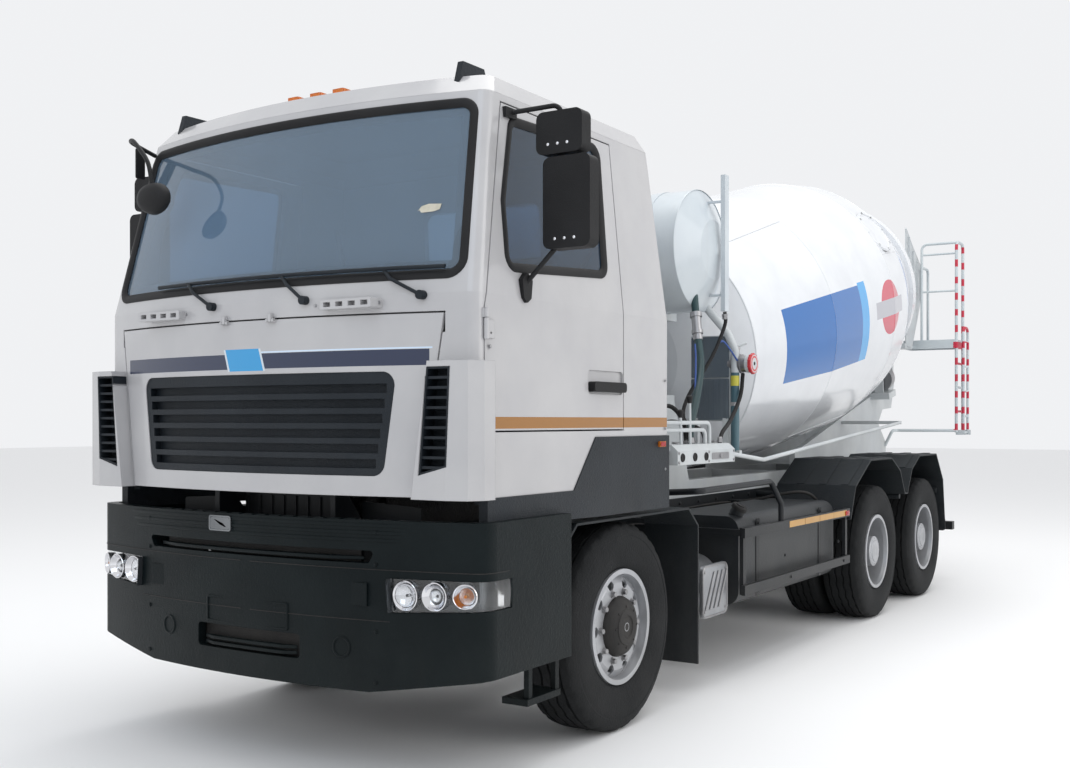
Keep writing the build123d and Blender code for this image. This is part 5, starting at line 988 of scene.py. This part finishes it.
# %% Bumper fittings
def bumper_face(x):
    """How far forward the bumper's bow stands."""
    return BOW_MIDDLE_Y - math.sqrt(BOW_R ** 2 - x * x)


fittings = Form()
for x in (-560, 560):
    here = (x, bumper_face(x) + 4, 612)
    fittings.turned(here, (x / BOW_R, -1, 0), [(0, 0), (1, 36), (7, 38), (9, 43), (7, 48), (0, 50)], 28)
plate = rounded(oblong(-262, 262, 662, 782), 10)
fittings.skin([[(x, bumper_face(x) - out, z) for x, z in outset(plate, grow)]
               for grow, out in ((4, -1), (2, 5), (-6, 6), (-9, 3))])
for x in range(-595, 596, 85):
    fittings.slab(oblong(x - 30, x + 30, 1168, 1176), bumper_face(x) + 12, bumper_face(x) + 34, "y")
for x in (-735, 735):
    fittings.bolts([(x, bumper_face(x) + 1, z) for z in (470, 690, 980, 1120)], AHEAD, 9, 6)
build(fittings, "bumper_fittings", "chassis", bumper_plastic)

# %% Slot shade sheets and seams
# Dark sheets behind the bumper's two slots stand in for the shade inside them.
shade_sheets = Form()
for half, low, high in ((345, 522, 668), (640, 985, 1065)):
    shade_sheets.skin([[(x, bumper_face(x) + back, z)
                   for back, z in ((52, low), (55, low), (55, high), (52, high))]
                  for x in range(-half, half + 1, 30)], capped=True)
build(shade_sheets, "slot_shade_sheets", "chassis", soft_black, angle=60)

seams = Form()
for sign in (-1, 1):
    seams.tube([(sign * x, bumper_face(x) - 0.3, 738) for x in range(30, 806, 25)], 2.2, 6)
    seams.tube([(sign * x, y - 0.8, 960) for x, y in bumper_line(-0.3, 30, -1150, 40)], 2.2, 6)
build(seams, "bumper_seams", "chassis", soft_black)

# %% [markdown]
# ## Seats
# A cushion isn't a block with round edges: it is filled, so its faces crown and its sides pull
# in between the corners. The foam starts a little smaller than the seat's space, is cut into
# even small faces and blown up by cloth pressure, with a cap on how far a point may go. The
# result is applied, so nothing is left to simulate. The piping is added afterwards.


# %% A foam block
def foam_block(centre, size, lean, radius, steps=4):
    """A block with rounded edges that leans about the truck's width."""
    work = bmesh.new()
    bmesh.ops.create_cube(work, size=1.0)
    bmesh.ops.scale(work, vec=Vector(size), verts=work.verts)
    bmesh.ops.bevel(work, geom=list(work.edges), offset=radius, segments=steps, affect="EDGES", profile=0.5)
    turn = math.radians(lean)
    points = []
    for vertex in work.verts:
        x, y, z = vertex.co
        points.append((centre[0] + x, centre[1] + y * math.cos(turn) - z * math.sin(turn),
                       centre[2] + y * math.sin(turn) + z * math.cos(turn)))
    faces = [[v.index for v in face.verts] for face in work.faces]
    work.free()
    return points, faces


print("a block of", len(foam_block((0, 0, 0), (100, 100, 100), 0, 10)[0]), "points")


# %% Blowing it up
def swell(obj, pressure, most, frames=20):
    """Blow a closed form up as cloth, keep each point within a cap, and apply the result."""
    before = [v.co.copy() for v in obj.data.vertices]
    cloth = obj.modifiers.new("filling", "CLOTH")
    cloth.settings.use_pressure = True
    cloth.settings.uniform_pressure_force = pressure
    cloth.settings.effector_weights.gravity = 0
    cloth.settings.quality = 5
    for number in range(1, frames + 1):
        bpy.context.scene.frame_set(number)
    done = obj.evaluated_get(bpy.context.evaluated_depsgraph_get())
    after = [v.co.copy() for v in done.data.vertices]
    obj.modifiers.clear()
    bpy.context.scene.frame_set(1)
    for vertex, old, new in zip(obj.data.vertices, before, after):
        move = new - old
        vertex.co = old + (move if move.length <= most else move.normalized() * most)


print("swell runs", swell.__defaults__[0], "frames of cloth")

# %% A whole cushion
PRESSURE, EDGE_RADIUS, FACE_SIZE, START_SMALLER = 4, 34, 0.012, 1.8


def cushion(name, centre, size, lean, body, most):
    """A padded piece in the space of its CAD block."""
    shrunk = [s - START_SMALLER * most / MM for s in size]
    obj = build(Form().add(*foam_block(centre, shrunk, lean, EDGE_RADIUS)), name, body, seat_cloth,
                angle=180)
    remesh = obj.modifiers.new("even_faces", "REMESH")
    remesh.mode, remesh.voxel_size = "VOXEL", FACE_SIZE
    bpy.context.view_layer.update()
    even = bpy.data.meshes.new_from_object(obj.evaluated_get(bpy.context.evaluated_depsgraph_get()))
    obj.modifiers.clear()
    obj.data = even
    even.materials.clear()
    even.materials.append(seat_cloth)
    swell(obj, PRESSURE, most)
    even.shade_smooth()
    print(name, "swollen within", round(most / MM), "mm, from", len(even.vertices), "points")


# %% Cushions and backs
SEAT_X, SEAT_LEAN = 560, 12
for side, sign in SIDES:
    cushion(f"seat_cushion_{side}", (sign * SEAT_X, -310, 1842), (478, 498, 116), 0, "cab", 0.012)
    cushion(f"seat_back_{side}", (sign * SEAT_X, -25, 2180), (478, 128, 636), SEAT_LEAN, "cab", 0.012)
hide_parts("seats")
print("the two cushions and backs stand for the node called seats")

# %% [markdown]
# ## Piping on the seats
# The covers are sewn from panels, and a thin cord of piping runs round each cushion and each
# back. It rides with the cab, as the seats do.

# %% Piping
piping = Form()
for sign in (1, -1):
    x = sign * SEAT_X
    edge = rounded(oblong(x - 222, x + 222, -540, -80), 60, 8)
    piping.tube([(px, py, 1888) for px, py in edge], 4, 6, closed=True)
    turn = math.radians(SEAT_LEAN)
    upright = rounded(oblong(x - 218, x + 218, -296, 296), 70, 8)
    piping.tube([(px, -25 - 55 * math.cos(turn) - up * math.sin(turn),
                  2180 - 55 * math.sin(turn) + up * math.cos(turn)) for px, up in upright], 4, 6, closed=True)
build(piping, "seat_piping", "cab", soft_black, angle=180)

# %% [markdown]
# ## Inside the cab
# Little shows through the glass but the dash's top, its vents, the instruments under their hood
# and the belts. Each is a few profiles, enough to keep the cabin from looking like an empty box.

# %% Dash and belts
hood = ((-1120, 2168), (-1085, 2205), (-1010, 2212), (-965, 2178), (-960, 2120), (-1000, 2100))
inside = Form().skin([[(x, y, z) for y, z in hood] for x in (255, 280, 620, 645)], capped=True)
for x in (-700, -480, -100, 60):
    inside.slab(rounded(oblong(x, x + 150, 2020, 2085), 12), -958, -944, "y")
for x in range(330, 551, 55):
    inside.turned((x, -958, 2150), (0, 1, 0.3), [(0, 24), (6, 25), (8, 22), (4, 20), (3, 0)], 24)
build(inside, "dash_details", "cab", cabin_plastic)

belts = Form()
for sign in (1, -1):
    path = ((1010, 180, 2780), (900, 120, 2560), (830, 60, 2380), (815, 40, 2100), (820, 10, 1800))
    belts.skin([[(sign * (x + thick), y + wide, z) for thick, wide in ((0, -2), (0, 44), (2, 44), (2, -2))]
                for x, y, z in path], capped=True)
build(belts, "seat_belts", "cab", soft_black)

# %% [markdown]
# ## Hoses and taps behind the cab
# The water for the drum runs through a fat green hose with a steel end. Black ones lead to the
# tank's gauge and the lever box, and the blue air lines are thin. All are held at both ends, so
# each is a tube along a few points. A soft curve through those points is what keeps a hose from
# looking like bent wire.


# %% A soft line through points
def soft_line(points, pieces=6):
    """A smooth path that passes through every point."""
    points = [Vector(p) for p in points]
    ends = [points[0] * 2 - points[1]] + points + [points[-1] * 2 - points[-2]]
    line = []
    for a, b, c, d in zip(ends, ends[1:], ends[2:], ends[3:]):
        for k in range(pieces):
            t = k / pieces
            line.append(0.5 * (2 * b + (c - a) * t + (2 * a - 5 * b + 4 * c - d) * t * t
                               + (3 * b - a - 3 * c + d) * t ** 3))
    return line + [points[-1]]


def hoses(lines):
    """Tubes along soft lines, from their points, radius and sides."""
    form = Form()
    for points, radius, sides in lines:
        form.tube(soft_line(points), radius, sides)
    return form


print("a soft line through 3 points has", len(soft_line([(0, 0, 0), (1, 0, 0), (1, 1, 0)])))

# %% The hoses
fat = soft_line([(1020, 1060, 1468), (1020, 1062, 1560), (1004, 1180, 1745), (965, 1318, 1945),
                 (905, 1398, 2150), (862, 1438, 2400)])
build(Form().tube(fat, 24, 16), "filling_hose", "chassis", green_hose, instead=("hoses",),
      angle=60)
thin = hoses([
    ([(1000, 1600, 2299), (1000, 1598, 2210), (962, 1480, 2000), (905, 1262, 1750), (930, 1160, 1610),
      (1050, 1150, 1545), (1075, 1150, 1468)], 12, 12),
    ([(1040, 1796, 1910), (1050, 1730, 1760), (1060, 1560, 1610), (1075, 1400, 1530),
      (1090, 1330, 1468)], 13, 12),
    ([(1020, 1010, 1468), (1010, 985, 1600), (960, 900, 1690), (880, 760, 1640), (800, 640, 1500),
      (760, 560, 1300)], 13, 12),
    ([(1060, 970, 1468), (1050, 930, 1570), (1000, 820, 1600), (930, 700, 1520), (850, 600, 1330)], 9, 10)])
build(thin, "black_hoses", "chassis", soft_black, angle=60)
air = hoses([
    ([(985, 1545, 2100), (1000, 1575, 2110), (1012, 1640, 2070), (1024, 1740, 1995)], 6, 10),
    ([(1010, 1110, 1468), (1005, 1130, 1600), (985, 1200, 1800), (950, 1280, 1985), (930, 1310, 2080)],
     6, 10)])
build(air, "air_lines", "chassis", blue_hose, angle=60)

# %% Fittings on the hoses
steel = Form()
top = Vector(fat[-7])
steel.turned(top, Vector(fat[-1]) - top, [(-40, 25), (-40, 31), (-12, 31), (-12, 27), (0, 27), (0, 36),
                                          (24, 36), (24, 30), (110, 31), (110, 38), (140, 38), (140, 28)], 24)
for place, axis, radius in (((1020, 1060, 1470), UP, 33), ((1075, 1150, 1470), UP, 19),
                            ((1090, 1330, 1470), UP, 19), ((1020, 1010, 1470), UP, 19),
                            ((1060, 970, 1470), UP, 16), ((1000, 1600, 2285), (0, 0, -1), 20)):
    steel.turned(place, axis, [(0, radius), (14, radius), (14, radius - 3), (30, radius - 3),
                               (34, radius - 7), (34, radius - 9)], 6 if radius < 25 else 24)
for x, y in ((1010, 1400), (1016, 880)):
    steel.turned((x, y, 1466), UP, [(0, 26), (8, 26), (12, 20), (12, 0)], 24)
build(steel, "hose_ends", "chassis", bare_steel)

# %% [markdown]
# ## The filling coupling
# A red dust cap with a rim of lugs closes the steel stub. A tap stands above it, and a band of
# yellow marks the pipe below. These are the brightest small things on the side, so they are
# worth making as real shapes.

# %% Coupling, cap and tap
PIPE_X, PIPE_Y, STUB_Y, STUB_Z = 1000, 1760, 1800, 1974
cap = Form().turned((1117, STUB_Y, STUB_Z), LEFT, [(-20, 60), (-20, 64), (-2, 66), (2, 62), (4, 40), (1, 36),
                                                   (1, 14), (3, 12), (3, 0)], 36)
for turn in circle(10):
    cap.turned((1103, STUB_Y + 63 * math.sin(turn), STUB_Z + 63 * math.cos(turn)), LEFT,
               [(-6, 0), (-6, 6), (14, 6), (16, 4), (16, 0)], 10)
build(cap, "filling_cap", "chassis", red_paint)

tap = Form().turned((1013, STUB_Y, STUB_Z), LEFT, [(-62, 54), (-62, 58), (-50, 58), (-50, 54), (10, 55),
                                                   (10, 62), (24, 62), (24, 55), (58, 55)], 36)
tap.turned((PIPE_X, PIPE_Y, 1700), UP, [(0, 27), (0, 34), (24, 34), (24, 27)], 6)
tap.turned((PIPE_X, STUB_Y, 2050), UP, [(-30, 20), (-10, 20), (-10, 14), (18, 14), (18, 18), (34, 18),
                                        (34, 10)], 20)
tap.bolt((PIPE_X, STUB_Y, 2084), UP, 11, 12)
tap.bolts([(1028, 1775, z) for z in (1752, 1790, 2020)], LEFT, 7, 8)
build(tap, "coupling_and_tap", "chassis", bare_steel)

# %% Pipe and splash panel
pipe = Form().turned((PIPE_X, PIPE_Y, 1730), UP, [(-326, 27.5), (-300, 28), (180, 28), (186, 27)], 20)
build(pipe, "filling_pipe_paint", "chassis", pipe_blue)
band = Form().turned((PIPE_X, PIPE_Y, 1830), UP, [(0, 28.2), (0, 28.9), (66, 28.9), (66, 28.2)], 20)
build(band, "pipe_band", "chassis", yellow_tape)

panel = Form()
panel.slab(rounded(oblong(692, 962, 1886, 2154), 8), 1745, 1751.5, "y")
panel.slab(rounded(oblong(692, 962, 1608, 1878), 8), 1741, 1751.5, "y")
for x in range(716, 933, 36):
    panel.slab(oblong(x, x + 6, 1622, 1866), 1736, 1742, "y")
for x in (704, 950):
    panel.bolts([(x, 1741 if z < 1880 else 1745, z) for z in (1622, 1864, 1900, 2142)], AHEAD, 6, 5)
build(panel, "splash_panel", "chassis", grey_panel)

# %% Lever box and its knobs
BOX_X = 1150
knobs = Form()
for y, z in ((900, 1735), (780, 1650)):
    knobs.turned((1095, y, z - 8), (0, -0.1, 1), [(-22, 9.5), (-20, 12), (-6, 15), (6, 19), (18, 18),
                                                  (24, 12), (26, 0)], 20)
for y in (700, 860, 1010):
    knobs.turned((BOX_X, y, 1392), LEFT, [(0, 0), (0.5, 17), (4, 19), (6, 23), (2, 25), (0, 25)], 24)
build(knobs, "lever_knobs", "chassis", soft_black)
latch = Form()
latch.bolts([(BOX_X, y, z) for y in (655, 1050, 1405) for z in (1364, 1418)], LEFT, 7, 6)
latch.slab(rounded(oblong(1090, 1330, 1372, 1412), 8), BOX_X, BOX_X + 3, "x")
latch.turned((BOX_X + 2, 1210, 1392), LEFT, [(0, 14), (6, 14), (8, 10), (8, 0)], 20)
build(latch, "lever_box_fittings", "chassis", bare_steel)

# %% [markdown]
# ## Water tank
# Two dished ends are welded to a rolled shell, and steel straps hold it on its stand. The welds
# are thin beads, the straps flat bands with a bolted clamp, and a filler neck stands on top.

# %% Tank straps, welds and filler
TANK_Y, TANK_Z, TANK_R = 1555, 2695, 390
straps = Form()
for x in (-620, 620):
    straps.turned((x, TANK_Y, TANK_Z), LEFT, [(-30, TANK_R + 0.4), (-30, TANK_R + 4), (30, TANK_R + 4),
                                             (30, TANK_R + 0.4)], 72)
    straps.slab(oblong(x - 30, x + 30, 2690, 2700), 1152, 1164, "y")
    straps.bolt((x, 1158, 2720), AHEAD, 9, 10)
straps.turned((300, TANK_Y, 3082), UP, [(-8, 95), (6, 95), (10, 88), (10, 60), (30, 58), (34, 50), (34, 0)],
              32)
build(straps, "tank_straps", "chassis", tank_paint)
welds = Form()
for x in (-850, 0, 850):
    welds.turned((x, TANK_Y, TANK_Z), LEFT, [(-6, TANK_R - 1), (-3, TANK_R + 1.2), (3, TANK_R + 1.2),
                                             (6, TANK_R - 1)], 72)
build(welds, "tank_welds", "chassis", tank_paint)

# %% [markdown]
# ## Glass edges and mirrors
# The windscreen has a dark printed border on the inside, and a torn scrap of old paper stuck to
# it. The mirror heads get a real mirror on their rear faces, and a small oval head on the right
# corner looks down at the road in front of the bumper.

# %% Windscreen border
border = [[(x, front_face(x, z) + 19, z) for x, z in outset(screen_line, out)] for out in (-24, -52, -66)]
build(Form().skin(border), "windscreen_border", "cab", soft_black, angle=60)
torn = ((852, 2517), (868, 2540), (901, 2549), (962, 2546), (957, 2521), (930, 2513), (871, 2510),
        (860, 2524))
scrap = Form().add([(x, front_face(x, z) + 8.5, z) for x, z in torn], [range(len(torn))])
build(scrap, "torn_paper", "cab", old_paper)

# %% Mirror glasses
for side, sign in SIDES:
    faces = Form()
    for low_x, high_x, low_z, high_z in ((1292, 1510, 2375, 2754), (1256, 1469, 2794, 2957)):
        edge = rounded(oblong(low_x, high_x, low_z, high_z), 26, 6)
        faces.skin([[(sign * x, y, z) for x, z in outset(edge, grow)]
                    for grow, y in ((-2, -866), (-4, -864), (-30, -862.5), (-80, -862))], capped=True)
        faces.bolts([(sign * (low_x + off), -936, low_z + 30) for off in (50, 100, 150)], AHEAD, 5, 3)
    build(faces, f"mirror_glass_{side}", f"door_{side}", chrome)

# %% Front mirror on the right
arm = Form().tube(soft_line([(-1060, -1130, 3010), (-1010, -1310, 3035), (-850, -1425, 3000),
                             (-700, -1465, 2880), (-660, -1468, 2760)]), 11, 12)
arm.slab(rounded(oblong(-1225, -1170, 2880, 3040), 10), -1100, -1092, "x")
# (half width, half height, how far back) of the head's rings
head = [[(-650 + w * math.cos(t), -1462 + d, 2690 + h * math.sin(t)) for t in circle(32)] for w, h, d in (
    (4, 3, -52), (60, 42, -48), (92, 66, -34), (106, 76, -10), (108, 78, 8), (102, 73, 14), (98, 70, 10))]
arm.skin(head, capped=True)
build(arm, "front_mirror", "cab", soft_black)

# %% [markdown]
# ## Small things on the cab
# Hinge bolts, side reflectors and the badge place are what the eye finds on a second look. The
# hinge bolts ride with their door. The badge stays blank: it is a place, not a label.

# %% Cab fittings
fittings = Form()
for sign in (1, -1):
    fittings.bolts([(sign * (x + 12), front_face(x, 2118) - 22, 2112) for x in (410, 740)], AHEAD, 7, 5)
    fittings.bolts([(sign * 1196, 400, z) for z in (1340, 1560, 1820)], (sign, 0, 0), 6, 4)
build(fittings, "cab_bolts", "cab", bare_steel)
for side, sign in SIDES:
    hinge = Form().bolts([(sign * 1197, -1218, z) for z in (1610, 1668, 1920, 1978)], (sign, 0, 0), 7, 5)
    build(hinge, f"hinge_bolts_{side}", f"door_{side}", bare_steel)

ARCH_X = 1208
marks = Form()
for sign in (1, -1):
    marks.slab(rounded(oblong(322, 378, 1465, 1489), 6), sign * ARCH_X, sign * (ARCH_X + 3), "x")
build(marks, "arch_reflectors", "cab", red_lens)

badge = Form()
frame_edge = rounded(oblong(-238, -92, 1092, 1158), 10)
badge.skin([[(x, bumper_face(x) - out, z) for x, z in outset(frame_edge, grow)]
            for grow, out in ((3, -2), (3, 10), (-4, 11), (-6, 8.5), (-20, 8))], capped=True)
build(badge, "badge_place", "chassis", dark_chrome)

# %% [markdown]
# ## The upper bumper
# Above the lamps the bumper steps back under the cab in long ridges, dark between them. Each
# ridge is a strip of a rounded section that follows the bumper's bow and dies out at its ends.

# %% Ridges
RIDGE_STEPS = 24
ridges = Form()
for z, half, depth in ((1004, 660, 26), (1150, 1120, 12), (1118, 1090, 12), (1086, 1060, 12),
                       (560, 300, 20), (586, 300, 20)):
    strip = []
    for k in range(RIDGE_STEPS + 1):
        x = -half + 2 * half * k / RIDGE_STEPS
        fade = min(1.0, 8 * min(k, RIDGE_STEPS - k) / RIDGE_STEPS)
        strip.append([(x, bumper_face(x) + depth - (depth + 5) * fade * out, z + up) for out, up in
                      ((0, -9), (0.9, -7), (1, 0), (0.9, 7), (0, 9))])
    ridges.skin(strip, capped=True)
build(ridges, "bumper_ridges", "chassis", bumper_plastic)

# %% [markdown]
# ## Along the chassis
# Reflective tape marks the upper guard plank, in short lengths with joints between them. Bolt
# heads along the rails, straps on the tank and the pipes beside the frame break up the long
# black surfaces, which would otherwise read as one shadow.

# %% Tape and rail bolts
PLANK_X = 1240
tape = Form()
for sign in (1, -1):
    for start in range(2110, 2981, 290):
        tape.slab(oblong(start, start + 284, 890, 932), sign * (PLANK_X + 0.2), sign * (PLANK_X + 1.2), "x")
build(tape, "guard_tape", "chassis", orange_tape)

rail_bolts = Form().bolts([(425, y, z) for y in range(-900, 6601, 300) for z in (800, 1020)], LEFT, 11, 9)
for y in (1800, 2950):
    rail_bolts.slab(rounded(oblong(y - 28, y + 28, 470, 970), 8), 1140, 1144, "x")
    rail_bolts.bolts([(1144, y, 500), (1144, y, 940)], LEFT, 10, 9)
rail_bolts.bolts([(x, y, z) for y in (2140, 3200) for x, z in ((1240, 558), (1195, 700))], LEFT, 9, 7)
build(rail_bolts.mirrored(), "rail_bolts", "chassis", chassis_paint)

pipes = hoses([([(x, 900, z), (x + 3, 1700, z - 6), (x, 2600, z + 4), (x + 4, 3380, z - 5), (x, 6300, z)],
                radius, 8) for x, z, radius in ((440, 985, 9), (440, 958, 7), (444, 930, 11))]
              + [([(444, 3000, 930), (640, 3080, 1010), (900, 3200, 1060), (980, 3330, 990),
                   (960, 3420, 880)], 12, 10)])
build(pipes, "chassis_lines", "chassis", soft_black, angle=60)

# %% Fuel cap and the shield's rim
cap = Form().turned((1080, 1640, 1040), (0.5, 0, 0.87),
                    [(-4, 46), (-4, 52), (18, 52), (24, 46), (24, 30), (30, 28), (30, 0)], 28)
build(cap, "fuel_cap", "chassis", soft_black)
rim_edge = rounded(oblong(959, 1311, 431, 745), 45, 8)
shield = Form().tube([(1150, y, z) for y, z in outset(rim_edge, -8)], 6, 8, closed=True)
for y in range(1007, 1188, 60):
    for start in (y, y + 4):
        shield.tube([(1151, start, 480), (1151, start + 120, 700)], 2.5, 6)
shield.bolts([(1150, y, z) for z in (470, 705) for y in (990, 1280)], LEFT, 8, 6)
build(shield, "shield_rim", "chassis", bare_steel)

# %% [markdown]
# ## Drum seams and blades
# The drum is rolled from plates, so a weld bead runs round it at each joint and along each
# plate, and two hatches are bolted on. Inside the mouth two spiral blades are seen; they are
# strips that turn as they advance.
# All of this turns with the drum, so it rides the drum's body.

# %% Points about the drum's axis
DRUM_SHAPE = [(-2500, 260), (-2480, 420), (-2420, 600), (-2200, 900), (-1000, 1070), (300, 1150), (800, 1120),
              (1815, 845), (2450, 560)]    # along the axis, radius


def on_drum(along, radius, turn):
    """A point at a distance along the drum's axis, a radius from it and a turn round it."""
    outwards = Vector(LEFT) * math.cos(turn) + DRUM_UP * math.sin(turn)
    return DRUM_MIDDLE + DRUM_AHEAD * along + outwards * radius


def drum_radius(along):
    """The drum's radius at a distance along its axis."""
    for (a, r), (b, q) in zip(DRUM_SHAPE, DRUM_SHAPE[1:]):
        if along <= b:
            return r + (q - r) * (along - a) / (b - a)
    return DRUM_SHAPE[-1][1]


print("radius at the middle", round(drum_radius(0)))

# %% Weld beads and hatches
beads = Form()
for along in (-2200, -1000, 300, 800, 1600):
    top = drum_radius(along) + 2
    beads.turned(DRUM_MIDDLE, DRUM_AHEAD, [(along - 7, drum_radius(along - 7) - 1), (along - 3, top),
                                          (along + 3, top), (along + 7, drum_radius(along + 7) - 1)], 96)
for first, last, turn in ((-1000, 300, 2.2), (300, 800, 0.4), (300, 800, 3.6), (800, 1600, 1.3),
                          (800, 1600, 4.4), (-1000, 300, 5.3), (-2200, -1000, 0.9), (-2200, -1000, 4.0)):
    places = [first + (last - first) * k / 6 for k in range(7)]
    beads.tube([on_drum(along, drum_radius(along), turn) for along in places], 3, 6)
HATCH_ALONG, HATCH_TURN = 520, 0.6
for turn in (HATCH_TURN, HATCH_TURN + math.pi):
    middle = on_drum(HATCH_ALONG, drum_radius(HATCH_ALONG) - 2, turn)
    out_way = (middle - (DRUM_MIDDLE + DRUM_AHEAD * HATCH_ALONG)).normalized()
    beads.turned(middle, out_way, [(-6, 215), (10, 212), (12, 190), (5, 186), (5, 0)], 40)
    across = out_way.cross(DRUM_AHEAD)
    beads.bolts([middle + (DRUM_AHEAD * math.cos(t) + across * math.sin(t)) * 200 + out_way * 11
                 for t in circle(8)], out_way, 10, 9)
build(beads, "drum_seams", "drum", drum_paint)

# %% Spiral blades in the mouth
BLADE_START, BLADE_LENGTH, BLADE_TURNS, BLADE_STEPS = 200, 2200, 1.15, 90
blades = Form()
for start in (0, math.pi):
    strip = []
    for k in range(BLADE_STEPS + 1):
        along = BLADE_START + BLADE_LENGTH * k / BLADE_STEPS
        turn = start + math.tau * BLADE_TURNS * k / BLADE_STEPS
        outer = drum_radius(along) - 9
        inner = outer - (330 - 200 * max(0, (along - 1400) / 1000))
        strip.append([on_drum(along, outer, turn), on_drum(along + 30, inner, turn),
                      on_drum(along + 36, inner, turn), on_drum(along + 6, outer, turn)])
    blades.skin(strip, capped=True)
build(blades, "drum_blades", "drum", blade_steel)

# %% [markdown]
# ## Dark sheets for the shade under the cab
# Between the bumper and the cab, and behind the bumper's slot, the eye should meet shade and not
# the bright floor. Black plates close those gaps in place of that shade, and ribs are pressed in
# two.

# %% Front shade sheets
UPPER_Y, LOWER_Y, SHEET, RIB = -1168, -1290, 8, 8
# Black sheets stand in for the shade between the bumper and the cab.
shade_sheets = Form().slab(rounded(oblong(-338, 338, 1064, 1252), 14), UPPER_Y, UPPER_Y + SHEET, "y")
for sign in (-1, 1):
    outline = [(sign * 430, 1064), (sign * 780, 1064), (sign * 780, 1210), (sign * 430, 1230)]
    shade_sheets.slab(rounded(outline, 14), UPPER_Y, UPPER_Y + SHEET, "y")
shade_sheets.slab(rounded(oblong(-420, 420, 500, 720), 14), LOWER_Y, LOWER_Y + SHEET, "y")
for x in range(-320, 321, 80):
    shade_sheets.slab(oblong(x, x + 14, 1075, 1240), UPPER_Y - RIB, UPPER_Y + 1, "y")
    shade_sheets.slab(oblong(x, x + 14, 515, 705), LOWER_Y - RIB, LOWER_Y + 1, "y")
for x in (-390, 390):
    shade_sheets.tube([(x, -1286, 700), (x, -1200, 780), (x, -1150, 800)], 12, 8)
build(shade_sheets, "front_shade_sheets", "chassis", chassis_paint)

# %% [markdown]
# ## Rear lamps
# Each cluster is a black box with round lenses side by side: amber for turning, red for the
# brake and the tail, clear for reversing. The lenses are shallow domes with a rim. Short pale
# strips lie along the bar between them, below a blank place for a plate.

# %% Lamp clusters
REAR_Y, REAR_LAMP_Z = 6684, 560
boxes, red_domes, amber_domes, clear_domes = Form(), Form(), Form(), Form()
for sign in (1, -1):
    edge = rounded(oblong(700, 1100, 500, 620), 16)
    boxes.skin([[(sign * x, y, z) for x, z in outset(edge, grow)] for y, grow in
                ((6641, 0), (6688, 0), (6694, -6), (6694, -10), (6684, -14))], capped=True)
    for k, domes in enumerate((amber_domes, red_domes, red_domes, clear_domes)):
        x = sign * (1046 - 97 * k)
        boxes.turned((x, REAR_Y, REAR_LAMP_Z), REARWARD, [(0, 46), (13, 46), (13, 42), (0, 41)], 32)
        domes.turned((x, REAR_Y, REAR_LAMP_Z), REARWARD, [(0, 40), (9, 40), (13, 34), (15, 22), (16, 0)], 32)
    marker = rounded(oblong(3230, 3310, 890, 925), 10)
    red_domes.skin([[(sign * (1240 + out), y, z) for y, z in outset(marker, grow)] for out, grow in
                    ((0, 0), (6, 0), (9, -5))], capped=True)
build(boxes, "rear_lamp_boxes", "chassis", soft_black, instead=("rear_lamps",))
build(red_domes, "red_lenses", "chassis", red_lens)
build(amber_domes, "amber_lenses", "chassis", amber_lens)
build(clear_domes, "clear_lenses", "chassis", clear_lens)

# %% Rear bar tape and plate place
REAR_BAR_Y = 6640
bar = Form()
for x in range(-600, 501, 100):
    bar.slab(oblong(x, x + 97, 528, 592), REAR_BAR_Y + 0.2, REAR_BAR_Y + 1.2, "y")
build(bar, "bar_tape", "chassis", ladder_paint)
plate = Form()
edge = rounded(oblong(-130, 130, 640, 760), 8)
plate.skin([[(x, y, z) for x, z in outset(edge, grow)]
            for y, grow in ((6625, 0), (6631, 0), (6632, -6), (6630, -9))], capped=True)
plate.slab(oblong(-60, 60, 590, 660), 6618, 6626, "y")
build(plate, "plate_place", "chassis", dark_chrome)

# %% [markdown]
# ## Hopper
# The hopper is folded sheet. Its upper edge is rolled over a rod, which keeps thin sheet from
# looking like card, and its flanks are bolted to their shelves.

# %% Rolled edges and bolts
HOPPER_HALF = 672
edges = Form()
for sign in (1, -1):
    edges.tube([(sign * 666, y, z) for y, z in ((6790, 3590), (7030, 3430), (7400, 3220))], 9, 8)
    edges.bolts([(sign * HOPPER_HALF, 6830 + 34 * k, 2372) for k in range(5)], (sign, 0, 0), 10, 8)
    edges.bolts([(sign * HOPPER_HALF, 6815, 2500 + 190 * k) for k in range(6)], (sign, 0, 0), 8, 7)
edges.tube([(-660, 7400, 3220), (660, 7400, 3220)], 9, 8)
edges.bolts([(x, 6950 + 100 * k, 2400) for x in (-415, 415) for k in range(4)], UP, 9, 8)
build(edges, "hopper_edges", "chassis", frame_paint)

# %% [markdown]
# ## Sizes
# The visual model keeps the size of the CAD model.
